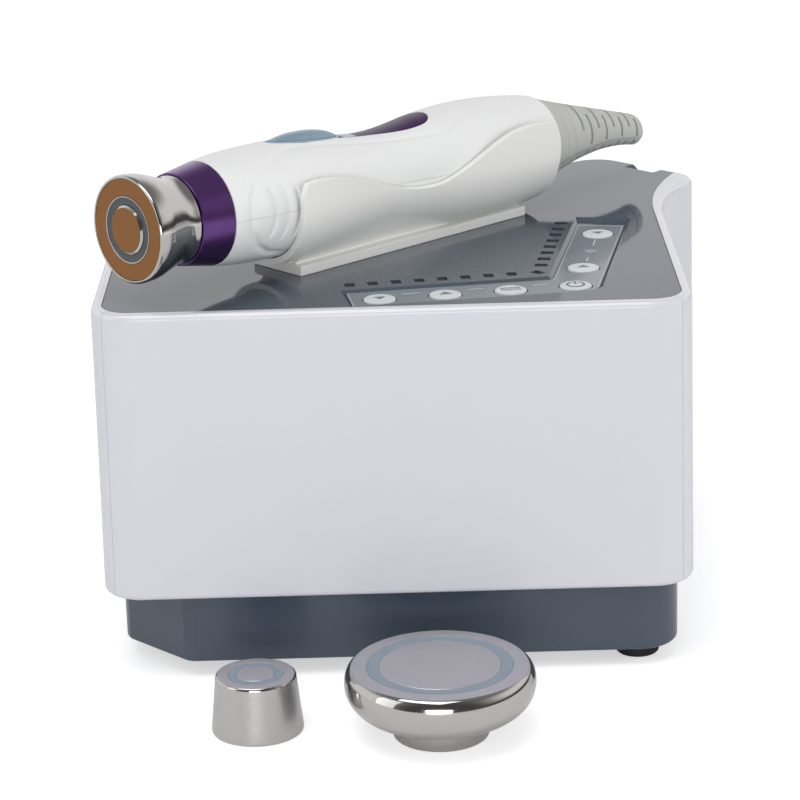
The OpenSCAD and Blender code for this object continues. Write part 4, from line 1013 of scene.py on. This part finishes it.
def make_film():
    """Keypad film lying in the recess, its outer corner rounded, with plain scale marks and a paler
    strip inside its edge that is a painted highlight.
    """
    top = RECESS_Z + FILM_T
    film = prism("film", keypad_outline(-FILM_GAP, COLUMN_LEN - FILM_SHORT), RECESS_Z, top)
    corner_rounded(film, crossing(FILM_GAP - ROW_OUT, FILM_GAP - COLUMN_OUT), 1, 0.3, 5.3)
    # Paler strip just inside the film's edge, raised a hair: painted highlight where light catches
    # the edge.
    edge_highlight = cut(copied(film, "film_edge_highlight_strip"), prism(
        "inner", keypad_outline(-0.85, COLUMN_LEN - 7.2), RECESS_Z - 3, RECESS_Z + 3))
    turn(edge_highlight, Matrix.Translation((0, 0, 0.03)))
    shaded(edge_highlight, 30, 100)
    place_piece(edge_highlight, CONSOLE, "console", FILM_EDGE_HIGHLIGHT, "keypad_film")
    cut(film, joined("key_holes", key_holes()))
    softened(film, 0.14, 2, 30)
    marks = []
    for s, length in ((0.5, 5.2), (1.5, 6.2), (2.5, 6.2)):
        tick = block("tick", (0, 0, top), (length, 0.35, 0.06))
        marks.append(set_at(tick, *row_at(s * KEY_PITCH, 5.2), ROW_TURN))
    for s, length in ((1.52, 5.0), (2.5, 8.0)):
        tick = block("tick", (0, 0, top), (0.35, length, 0.06))
        marks.append(set_at(tick, *column_at(s * KEY_PITCH, 0), -COLUMN_TURN))
    x, y = column_at(2 * KEY_PITCH, 0)
    low, high = top - 0.03, top + 0.03
    marks.append(set_at(turned(
        "ring", [(0.9, low), (1.25, low), (1.25, high), (0.9, high), (0.9, low)], 24), x, y))
    for i in range(8):
        marks.append(set_at(block("ray", (2.1, 0, top), (0.9, 0.28, 0.06)), x, y, 45 * i))
    place_piece(joined("film_marks", marks), CONSOLE, "console", KEY_WHITE, "keypad_film")
    shaded(film, 12, 100)
    renamed(film, "keypad_sheet")
    place_piece(film, CONSOLE, "console", KEYPAD_FILM, "keypad_film", "keypad_overlay")


def sign(name, outline):
    """A thin printed shape on a key top."""
    return prism(name, outline, 137.44, 137.6)


def key_sign(kind):
    """The sign printed on a key: arrow up or down, wave or power ring."""
    if kind in ("up", "next"):
        return sign("arrow", [(-2.2, -1.2), (2.2, -1.2), (0, 1.8)])
    if kind in ("down", "start"):
        return sign("arrow", [(-2.2, 1.2), (0, -1.8), (2.2, 1.2)])
    if kind == "power":
        ring = turned("ring", [(2.6, 137.4), (3.4, 137.4), (3.4, 137.56), (2.6, 137.6),
                               (2.6, 137.4)], 48)
        cut(ring, block("gap", (0, 3.0, 137.5), (2.2, 2.2, 2)))
        return joined("power_sign", [ring, block("bar", (0, 2.1, 137.5), (0.8, 3.2, 0.18))])
    waves = []
    for row in (-1.0, 1.0):
        top = [(x * 0.3 - 3.6, row + 0.3 + 0.5 * math.sin(x * 1.05)) for x in range(25)]
        low = [(x, y - 0.6) for x, y in reversed(top)]
        waves.append(sign("wave", top + low))
    return joined("wave_sign", waves)


def make_keys():
    """Six round keys from one cap; each carries its own sign."""
    cap = turned("key_cap", [
        (0, 137.52), (3.0, 137.5), (4.6, 137.44), (5.2, 137.33), (5.55, 137.12), (5.72, 136.8),
        (5.75, 136.4), (5.75, 134.85), (6.55, 134.85), (6.65, 134.75), (6.65, 134.2),
        (1.7, 134.15), (1.7, 132.6), (0, 132.6),
    ], 72)
    for name, (x, y) in KEY_PLACES.items():
        key = copied(cap, name + "_cap")
        angle = ROW_TURN if name in ("down", "up", "mode") else 4.0
        mark = set_at(key_sign(name), 0, 0, angle)
        shaded(key, 35)
        key = joined(name + "_cap", [dressed(key, KEY_WHITE), dressed(mark, PRINT_GREY)])
        place_piece(key, CONSOLE @ Matrix.Translation((x, y, 0)), "key_" + name + "_body", None,
                    "white_keys", "key_" + name)
    bpy.data.objects.remove(cap)


def make_tray():
    """Base tray with its chamfered corners, and the feet under it."""
    tray = prism("tray", tray_outline(0), TRAY_Z, HOUSING_Z)
    cut_corners = [tray_outline(0)[i] for i in (0, 1, 23, 24)]
    pick_edges(tray, lambda a, b: abs(a.z - b.z) > 1 and any(
        near(a, corner, 0.1) for corner in cut_corners))
    bpy.ops.mesh.bevel(offset=2.6, segments=8, affect="EDGES")
    close_mesh()
    pick_edges(tray, lambda a, b: max(a.z, b.z) < TRAY_Z + 0.01)
    bpy.ops.mesh.bevel(offset=1.7, segments=6, affect="EDGES")
    close_mesh()
    cut(tray, prism("flange", housing_outline(WALL + 0.15), HOUSING_Z - 0.5, HOUSING_Z + 2.4),
        "UNION")
    cut(tray, prism("hollow", tray_outline(TRAY_WALL), TRAY_Z + TRAY_WALL, HOUSING_Z + 5))
    inwards = TRAY_IN + TRAY_WALL + 4.5 - 0.5
    bosses = [(-58, inwards), (58, inwards), (SIDE_X - inwards, 62), (inwards - SIDE_X, 92),
              (-30, BACK_Y - inwards), (40, BACK_Y - inwards)]
    cut(tray, joined("screw_seats", [drum("seat", x, y, TRAY_Z, 3.7, 6, corners=32)
                                     for x, y in bosses]))
    softened(tray, 0.35, 3, 30)
    shaded(tray, 28, 100)
    renamed(tray, "tray_shell")
    place_piece(tray, CONSOLE, "console", SLATE_TRAY, "slate_tray", "base_tray")

    foot = turned("foot", [(0, 0.5), (4.4, 0.5), (4.9, 0.0), (6.6, 0.0), (7.3, 0.25), (7.8, 0.8),
                           (8, 1.6), (8, 6.0), (7.8, 6.2), (0, 6.2)], 72)
    for i, (x, y) in enumerate(((SIDE_X - 19, 20), (44 - SIDE_X, 36), (19 - SIDE_X, BACK_Y - 22),
                                (SIDE_X - 44, BACK_Y - 34))):
        one = shaded(set_at(copied(foot, f"foot_{i}"), x, y), 35)
        place_piece(one, CONSOLE, "console", RUBBER, "black_rubber", *(["feet"] if i == 0 else []))
    bpy.data.objects.remove(foot)


# ---------------------------------------------------------------- electrode heads
BORE_R = 5.08


def quarter(start, end, centre, count):
    """Points of a quarter ellipse from start to end about the centre, both ends included."""
    points = []
    for i in range(count + 1):
        a = math.pi / 2 * i / count
        points.append((centre[0] + (start[0] - centre[0]) * math.cos(a)
                       + (end[0] - centre[0]) * math.sin(a),
                       centre[1] + (start[1] - centre[1]) * math.cos(a)
                       + (end[1] - centre[1]) * math.sin(a)))
    return points


def make_spare_head(name, place, profile, satin_to, ring_r, disc_r, height, bore_end):
    """A spare electrode: polished body, brushed top, insulating ring and brushed disc."""
    seat = height - 2.5
    body = turned(name + "_body_metal", [(BORE_R, 0.4), (5.5, 0.0)] + profile + [
        (ring_r + 0.25, height), (ring_r + 0.05, height - 0.15), (ring_r + 0.05, seat),
        (0, seat), (0, bore_end), (BORE_R, bore_end), (BORE_R, 0.4)], 192)
    dressed(body, CHROME, BRUSHED, TURNED_STEEL)
    for face in body.data.polygons:
        if face.center.z > height - 0.05 and face.normal.z > 0.9:
            face.material_index = 1
        elif face.center.z < satin_to and math.hypot(face.center.x, face.center.y) > 6:
            face.material_index = 2
    shaded(body, 40)
    ring = turned(name + "_ring", [
        (disc_r, seat), (ring_r, seat), (ring_r, height - 0.12), (ring_r - 0.12, height - 0.04),
        (disc_r + 0.12, height - 0.04), (disc_r, height - 0.12), (disc_r, seat)], 160)
    shaded(ring, 40)
    disc = turned(name + "_disc_plate", [
        (0, seat), (disc_r - 0.05, seat), (disc_r - 0.05, height - 0.15),
        (disc_r - 0.2, height), (0, height)], 160)
    shaded(disc, 40)
    place_piece(body, place, name, None, "head_chrome", name + "_body")
    place_piece(ring, place, name, RING_BLUE, "ring_blue", name + "_insulator")
    place_piece(disc, place, name, BRUSHED, "disc_steel", name + "_disc")


def make_spare_heads():
    large = (
        [(16.2, 0), (16.5, 0.25), (16.6, 0.6), (16.6, 6.2)]
        + quarter((16.6, 6.2), (17.6, 7.1), (17.6, 6.2), 6)[1:]
        + quarter((17.6, 7.1), (32.9, 19.0), (17.6, 19.0), 40)[1:]
        + quarter((32.9, 19.0), (29.8, 25.2), (29.8, 19.0), 22)[1:]
    )
    make_spare_head("large_head", LARGE_HEAD, large, 6.5, 25.1, 21.0, 25.2, 12.4)
    small = [(15.3, 0), (15.75, 0.15), (15.9, 0.5), (15.95, 1.2), (14.02, 19.4), (13.85, 20.0),
             (13.4, 20.4), (12.9, 20.5)]
    make_spare_head("small_head", SMALL_HEAD, small, 19.5, 9.5, 6.6, 20.5, 12.4)


def two_finishes(piece, first, second, is_second):
    """Gives the second finish where (distance from the axis, height) says, the first elsewhere."""
    dressed(piece, first, second)
    for face in piece.data.polygons:
        if is_second(math.hypot(face.center.x, face.center.y), face.center.z):
            face.material_index = 1


def make_fitted_head():
    """The electrode on the handpiece: polished bell, bronze face, slate ring, raised disc."""
    place = HAND @ ALONG
    bell = smooth_line(np.array([(1.0, 19.1), (3.4, 19.05), (6.5, 18.62), (8.9, 17.9),
                                 (11.6, 17.0), (13.5, 16.35), (15.5, 15.75), (17.4, 15.5),
                                 (20.25, 15.8)]))
    outer = [(float(bell(x)), x) for x in np.linspace(1.0, 20.0, 48)]
    body = turned("head_bell", [
        (17.9, 2), (17.9, 0.35), (18.0, 0.12), (18.3, 0.0), (18.7, 0.12), (19.0, 0.5)] + outer + [
        (15.7, 20.25), (5.3, 20.25), (BORE_R, 20.0), (BORE_R, 7.9), (0, 7.9), (0, 2),
        (17.9, 2)], 192)
    shaded(body, 40)
    place_piece(body, place, "electrode_head", CHROME, "head_chrome", "head_body")
    face = turned("head_face_plate", [
        (11.9, 2), (11.9, 0.25), (12.05, 0.1), (17.6, 0.1), (17.85, 0.3), (17.85, 2),
        (11.9, 2)], 160)
    shaded(face, 40)
    place_piece(face, place, "electrode_head", BRONZE, "face_bronze", "head_face")
    ring = turned("head_ring", [
        (8.75, 2), (8.75, 0.5), (8.85, 0.4), (9.6, 0.35), (10.1, 0.6), (10.5, 0.6), (10.9, 0.35),
        (11.35, 0.35), (11.4, 0.1), (11.55, 0.02), (11.8, 0.05), (11.85, 0.2), (11.85, 2),
        (8.75, 2)], 160)
    two_finishes(ring, RING_SLATE, CHROME, lambda r, z: r > 11.36 and z < 0.6)
    shaded(ring, 40)
    place_piece(ring, place, "electrode_head", None, "ring_slate", "head_insulator")
    disc = turned("head_centre", [
        (0, 2), (8.7, 2), (8.7, 0.3), (8.6, 0.05), (7.9, -0.5), (7.7, -0.6), (0, -0.6)], 160)
    two_finishes(disc, BRONZE, CHROME, lambda r, z: r > 7.8)
    shaded(disc, 25)
    place_piece(disc, place, "electrode_head", None, "face_bronze", "head_disc")


# ---------------------------------------------------------------- handpiece
def near_line(x, s, line):
    """Distance from each place (x, s) to a line of points, and how far along it the place is."""
    best = np.full(x.shape, 1e9)
    share = np.zeros(x.shape)
    for i, (a, b) in enumerate(zip(line, line[1:])):
        d = (b[0] - a[0], b[1] - a[1])
        t = np.clip(((x - a[0]) * d[0] + (s - a[1]) * d[1]) / (d[0] ** 2 + d[1] ** 2), 0, 1)
        gap = np.hypot(x - a[0] - t * d[0], s - a[1] - t * d[1])
        share = np.where(gap < best, (i + t) / (len(line) - 1), share)
        best = np.minimum(best, gap)
    return best, share


# Carving as (place along the handpiece, turn from the top in degrees); the crescents as
# (place, first turn, last turn)
GRIP_R = 20.4
GRIP_RING = [(88, 25.5), (79.5, 24), (67.5, 23), (59, 28.5), (51.5, 39.5), (44.9, 54), (41.2, 68),
             (39.8, 86), (40.8, 105.5), (45.0, 124), (51.5, 137), (60, 144), (66, 146)]
STYLE_LINE = [(64.2, 21.5), (69.1, 19), (76, 18), (84.2, 22), (99.7, 25), (104.8, 26),
              (116.9, 31), (128.1, 36.5), (136, 40), (141, 39.5), (145.4, 34), (148.3, 23),
              (149.6, 10), (149.9, 0)]
CRESCENTS = ((50.9, 63, 114), (56.3, 60, 119), (62.0, 56, 119))


def body_depth(p):
    """How deep the grip's ring, its crescents and the style line sink into the shells."""
    x, y, z = p[:, 0], np.abs(p[:, 1]), p[:, 2]
    turn_deg = np.degrees(np.arctan2(y, z))
    r = np.hypot(y, z)
    outer = (r > body_r(x) - 0.6) & (x > BODY_START + 0.2) & (x < BODY_END - 0.2)
    s = np.radians(turn_deg) * GRIP_R

    def on_surface(line):
        return [(a, math.radians(b) * GRIP_R) for a, b in line]

    gap, share = near_line(x, s, on_surface(GRIP_RING))
    fade = np.clip(share / 0.12, 0, 1)
    depth = fade * (0.5 + 0.45 * np.clip((turn_deg - 85) / 45, 0, 1)) * np.exp(-((gap / 1.35) ** 2))
    gap, share = near_line(x, s, on_surface(STYLE_LINE))
    depth += 0.5 * np.exp(-((gap / 1.0) ** 2)) * np.clip(share / 0.05, 0, 1)
    for centre, first, last in CRESCENTS:
        t = (turn_deg - (first + last) / 2) / ((last - first) / 2)
        reach = np.clip(1 - t * t, 0, 1)
        d = x - (centre - 2.2 * t * t)
        side = np.where(d < 0, np.clip(1 + d / 3.4, 0, 1) ** 2, np.clip(1 - d / 0.55, 0, 1))
        depth += 1.05 * np.sqrt(reach) * side * (np.abs(t) < 1)
    return np.where(outer, depth, 0)


SHELL_WALL = 2.2


def make_shells():
    """Upper and lower shell, turned in one, carved, parted and opened for button and inlay."""
    rows = np.concatenate([
        np.linspace(34.2, 36, 4)[:-1],      # front edge
        np.arange(36, 68, 0.4 / FINE),      # carved grip
        np.arange(68, 152, 0.9 / FINE),     # style line
        np.arange(152, 196.2, 1.6 / FINE),  # plain rear
    ])
    outer = [(18.3, BODY_START), (18.75, 33.65)] + [(float(body_r(x)), float(x)) for x in rows]
    tail = [(float(body_r(196.4)), 196.4), (17.85, 196.75), (17.55, BODY_END), (13.75, BODY_END),
            (13.75, 195.2)]
    inner = [(float(body_r(x)) - SHELL_WALL, float(x)) for x in np.linspace(195.2, 35.2, 34)]
    profile = outer + tail + inner + [(14.7, 35.2), (14.7, BODY_START), (18.3, BODY_START)]
    body = turn(turned("shells", profile, int(288 * FINE)), ALONG)
    carved(body, body_depth)

    opening = prism("opening", oval(63.45, 98.55, 5.25, 72), 6, 40)
    cut(opening, block("tongue", (99.9, 0, 23), (9.2, 6.5, 34)), "UNION")
    first, gap = 104.3, 0.15
    xs = [first + (INLAY_END + gap - first) * math.sin(math.pi / 2 * i / 40) for i in range(41)]
    half = [float(inlay_half(min(x, INLAY_END - 0.001))) + gap for x in xs]
    half[-1] = 0.3
    outline = [(x, -h) for x, h in zip(xs, half)] + [(x, h) for x, h in zip(xs, half)][::-1]
    cut(opening, prism("inlay_place", outline, 6, 40), "UNION")

    seats = [drum("screw_seat", x, 0, -18, 3.0, 14, corners=48) for x in (44, 170)]
    cut(body, joined("screw_seats", seats))
    lower = copied(body, "lower_shell_wall")
    for piece, height, keep_top in ((body, 0.05, True), (lower, -0.05, False)):
        open_all(piece)
        bpy.ops.mesh.bisect(plane_co=(0, 0, height), plane_no=(0, 0, 1), use_fill=True,
                            clear_inner=keep_top, clear_outer=not keep_top)
        close_mesh()
    cut(body, opening)
    renamed(body, "upper_shell_wall")
    for piece, node_name in ((body, "upper_shell"), (lower, "lower_shell")):
        shaded(piece, 38)
        place_piece(piece, HAND, "handpiece", HAND_WHITE, "handpiece_white", node_name)


def make_collar():
    """Violet collar between the head and the shells."""
    collar = turned("collar_ring", [
        (8.1, 20.6), (16.0, 20.6), (16.35, 20.7), (16.5, 20.95), (16.55, 21.4),
        (17.1, 24.5), (17.9, 29.0), (18.62, 33.0), (18.66, 33.2), (18.5, 33.35), (14.3, 33.35),
        (14.3, 23.6), (8.1, 23.6), (8.1, 20.6)], 192)
    shaded(collar, 40)
    place_piece(collar, HAND @ ALONG, "handpiece", VIOLET, "violet_anodised", "collar")


def wrapped(name, columns, rows, x_of, half_of, lift, thick):
    """A patch lying on the handpiece: x_of(u) along it, half_of(x) its half width."""

    def place(u, v):
        x = x_of(u)
        y = (2 * v - 1) * half_of(x)
        return np.stack([x, y, np.sqrt((body_r(x) + lift) ** 2 - y**2)], 1)

    piece = faced_up(outwards(sheet_of(name, columns, rows, place)))
    return modified(piece, "SOLIDIFY", thickness=thick, offset=-1)


def make_inlay_and_frame():
    """Violet inlay, and the button's frame with the tongue that runs back to it."""
    end = INLAY_END - 0.05
    inlay = wrapped("inlay_plate", 60, 18,
                    lambda u: INLAY_START + (end - INLAY_START) * np.sin(u * np.pi / 2),
                    lambda x: np.maximum(inlay_half(np.minimum(x, end)) - 0.05, 0.02), -0.15, 1.5)
    softened(inlay, 0.25, 3, 50)
    shaded(inlay, 45)
    place_piece(inlay, HAND, "handpiece", VIOLET_INLAY, "violet_inlay", "inlay")

    rim, lift, thick = 0.9, 0.12, 2.1

    def place(u, v):
        a = 2 * np.pi * u
        x0, x1, w = WELL_START - rim * v, WELL_END + rim * v, 4.2 + rim * v
        x = (x0 + x1) / 2 - (x1 - x0) / 2 * np.cos(a)
        y = w * np.sin(a) * (1 + LEAF * np.cos(a))
        return np.stack([x, y, np.sqrt((body_r(x) + lift) ** 2 - y**2)], 1)

    ring = faced_up(outwards(sheet_of("frame_ring", 96, 4, place), 1e-3))
    modified(ring, "SOLIDIFY", thickness=thick, offset=-1)
    tongue = wrapped("tongue", 12, 10, lambda u: 98.1 + 6.25 * u, lambda x: 3.1 + 0 * x, lift,
                     thick)
    frame_piece = joined("button_frame_ring", [softened(ring, 0.15, 2, 50), tongue])
    shaded(frame_piece, 45)
    place_piece(frame_piece, HAND, "handpiece", FRAME_BLUE, "frame_blue", "button_frame")


def make_button():
    """Leaf-shaped button: pointed front, flat crown, steep sides and a skirt into the frame."""
    middle, reach, half_w, skirt = (WELL_START + WELL_END) / 2, 16.2, 3.9, 3.6

    def place(u, v):
        a = np.pi * u
        x = middle - reach * np.cos(a)
        half = half_w * np.sin(a) * (1 + LEAF * np.cos(a))
        side = np.abs(2 * v - 1)
        y = (2 * v - 1) * half
        edge = np.sqrt(body_r(x) ** 2 - half**2) + 0.35
        top = np.maximum(
            crest(WELL_START + (x - WELL_START) * CREST_LEN / (WELL_END - WELL_START)), edge)
        shoulder = top - 0.12 * (top - edge)
        z = np.where(side < 0.5, top - (top - shoulder) * (side / 0.5) ** 2,
                     shoulder + (edge - shoulder) * np.clip((side - 0.5) / 0.5, 0, 1) ** 1.15)
        return np.stack([x, y, z], 1)

    button = faced_up(outwards(sheet_of("button_cap", 96, 32, place), 1e-3))
    open_all(button)
    bpy.ops.mesh.region_to_loop()
    bpy.ops.mesh.extrude_region_move(TRANSFORM_OT_translate={"value": (0, 0, -skirt)})
    bpy.ops.mesh.edge_face_add()
    close_mesh()
    outwards(button)
    shaded(button, 18)
    place_piece(button, HAND, "button", BUTTON_BLUE, "button_blue", "trigger_button")


# Strain relief: its length, and the places of its grooves and of its rows of slots
BOOT_LEN, GROOVES = 60, (204.6, 210.4)
SLOTS = (215.7, 221.4, 226.8, 232.0, 237.2, 242.3, 247.2, 252.0)


def boot_r(t):
    """Radius of the strain relief at a share of its length."""
    return 6.4 + 11.0 * (1 - t) ** 1.7


def slot_blade(x, width, radius, first, last):
    """Tool for one slot, between two turns from the top in degrees."""
    turns = [math.radians(first + (last - first) * k / 14) for k in range(15)]
    inside = [(-(radius - 1.1) * math.cos(a), (radius - 1.1) * math.sin(a)) for a in turns]
    outside = [(-(radius + 1.5) * math.cos(a), (radius + 1.5) * math.sin(a))
               for a in reversed(turns)]
    return prism("blade", inside + outside, x - width, x + width)


def make_boot():
    """Strain relief: tapering, slotted on alternate sides, bent down a little by its own lead."""
    line = []
    for i in range(60):
        t = i / 59 * 0.957
        x = BODY_END + BOOT_LEN * t
        dent = sum(0.45 * math.exp(-(((x - groove) / 0.45) ** 2)) for groove in GROOVES)
        line.append((boot_r(t) - dent, x))
    end = quarter(line[-1], (4.0, BODY_END + BOOT_LEN), (4.0, line[-1][1]), 8)[1:]
    profile = ([(0, 189.5), (13.2, 189.5), (13.5, 190), (13.5, BODY_END), (17.0, BODY_END)] + line
               + end + [(3.4, 256.9), (3.1, 256.5), (3.1, 240), (0, 240)])
    boot = turned("boot", profile, int(160 * FINE) // 2 * 2)
    blades = []
    for i, x in enumerate(SLOTS):
        if i % 2:
            spans = [(40, 106), (-106, -40), (124, 236)]
        else:
            spans = [(-74, 74), (128, 172), (188, 232)]
        blades += [slot_blade(x, 0.8 if i < 3 else 0.65, boot_r((x - BODY_END) / BOOT_LEN), *span)
                   for span in spans]
    cut(boot, joined("blades", blades))
    turn(boot, ALONG)

    def bend(p):
        x, y, z = p[:, 0], p[:, 1], p[:, 2]
        t = np.clip((x - BODY_END) / BOOT_LEN, 0, 1)
        under = np.degrees(np.arctan2(np.abs(y), z))
        flat = 1 - 0.05 * ease((under - 112) / 5) * np.clip((x - BODY_END) / 6, 0, 1)
        return np.stack([x, y * flat, z * flat - 4.8 * t**3], 1)

    shaded(reshaped(boot, bend), 35)
    renamed(boot, "boot_sleeve")
    place_piece(boot, HAND, "handpiece", BOOT_GREY, "grey_boot", "strain_relief")


# ---------------------------------------------------------------- cradle
TROUGH_START, TROUGH_END, TROUGH_WALL = 60.8, 192.3, 2.4
WEB_START, WEB_LEN, WEB_ROWS = 68.0, 113.0, 37
# Foot plate: half width, height at its edge, and its length along the handpiece
FOOT_HALF, FOOT_EDGE, FOOT_START, FOOT_END = 13, 3.6, 67, 181.5


def make_saddle():
    """Web that runs from the trough's underside in a hollow curve onto the top of the foot."""
    bend_y, bend_z, hollow = 8.6, 3.8, 1.5
    curved, half_way, across = 8, 18, 10

    def place(u, v):
        x = WEB_START + WEB_LEN * u
        r, height = body_r(x) + 2.7, 28.6 - 0.0227 * x
        drop = height - bend_z
        reach = np.sqrt(np.maximum(bend_y**2 + drop**2 - r**2, 0))
        lean = np.arctan2(bend_y, drop) + np.arctan2(reach, r)
        step = np.rint(v * WEB_ROWS)
        # Up one side, across inside the trough's wall, down the other side and back below
        side = np.where(step < half_way, 1, -1)
        along = np.where(step < half_way, step - 1, WEB_ROWS - 2 - step)
        t = np.clip(along / curved, 0, 1)
        far_y, far_z = r * np.sin(lean), height - r * np.cos(lean)
        share = np.minimum(hollow / np.hypot(far_y - bend_y, far_z - bend_z), 0.6)
        near_y = bend_y + share * (far_y - bend_y)
        near_z = bend_z + share * (far_z - bend_z)
        y = (1 - t) ** 2 * (bend_y + hollow) + 2 * t * (1 - t) * bend_y + t**2 * near_y
        z = (1 - t) ** 2 * (bend_z - 0.08) + 2 * t * (1 - t) * bend_z + t**2 * near_z
        rest = np.clip((along - curved) / 3, 0, 1)
        y, z = (y + (far_y - near_y) * rest) * side, z + (far_z - near_z) * rest
        inside = (step > 12) & (step < 24)
        a = lean * (1 - 2 * np.clip((step - 13) / across, 0, 1))
        y = np.where(inside, (r - 1.3) * np.sin(a), y)
        z = np.where(inside, height - (r - 1.3) * np.cos(a), z)
        low = (step == 0) | (step > WEB_ROWS - 1.5)
        return np.stack([x, np.where(low, np.where(step == WEB_ROWS - 1, -10.0, 10.0), y),
                         np.where(low, 3.2, z)], 1)

    web = sheet_of("web", 60, WEB_ROWS, place)
    open_all(web)
    bpy.ops.mesh.remove_doubles(threshold=1e-4)
    bpy.ops.mesh.fill_holes(sides=60)
    close_mesh()
    return shaded(outwards(web), 34)


def make_cradle():
    """Wave-edged trough on its foot plate."""

    def place(u, v):
        x = TROUGH_START + (TROUGH_END - TROUGH_START) * u
        inner = body_r(x) + 0.35
        side = 2 * v - 1
        top = cradle_edge(x)
        half = np.pi / 2 * inner
        reach = np.where(top > 0, half + np.maximum(top, 0),
                         inner * np.arccos(np.clip(-top / inner, -1, 1)))
        s = np.abs(side) * reach
        angle = np.minimum(s / inner, np.pi / 2)
        y = np.where(s < half, inner * np.sin(angle), inner) * np.sign(side)
        z = np.where(s < half, -inner * np.cos(angle), s - half)
        return np.stack([x, y, z], 1)

    trough = faced_up(sheet_of("trough", int(180 * FINE), int(96 * FINE), place))
    modified(trough, "SOLIDIFY", thickness=TROUGH_WALL, offset=-1)
    softened(trough, 1.1, 5, 60)
    shaded(trough, 50)
    turn(trough, HAND)

    on_panel = (CONSOLE @ Matrix.Translation((HAND_X, HAND_Y, PANEL_Z))
                @ Matrix.Rotation(HAND_TURN, 4, "Z"))
    right = [(FOOT_HALF, 0), (FOOT_HALF, FOOT_EDGE), (10, 3.74), (6.5, 3.9), (6.5, 9.4)]
    left = [(-y, z) for y, z in reversed(right)]
    foot = prism("foot", left[-1:] + right + left[:-1], FOOT_START, FOOT_END)
    turn(foot, Matrix(((0, 0, 1, 0), (1, 0, 0, 0), (0, 1, 0, 0), (0, 0, 0, 1))))
    stand = joined("stand", [shaded(softened(foot, 0.4, 3, 20), 40, 100), make_saddle()])
    turn(stand, on_panel)
    cradle = joined("cradle_trough", [trough, stand])
    place_piece(cradle, Matrix(), "console", CRADLE_WHITE, "cradle_white", "cradle")


make_panel(make_housing())
make_film()
make_keys()
make_tray()
make_spare_heads()
make_fitted_head()
make_shells()
make_collar()
make_inlay_and_frame()
make_button()
make_boot()
make_cradle()
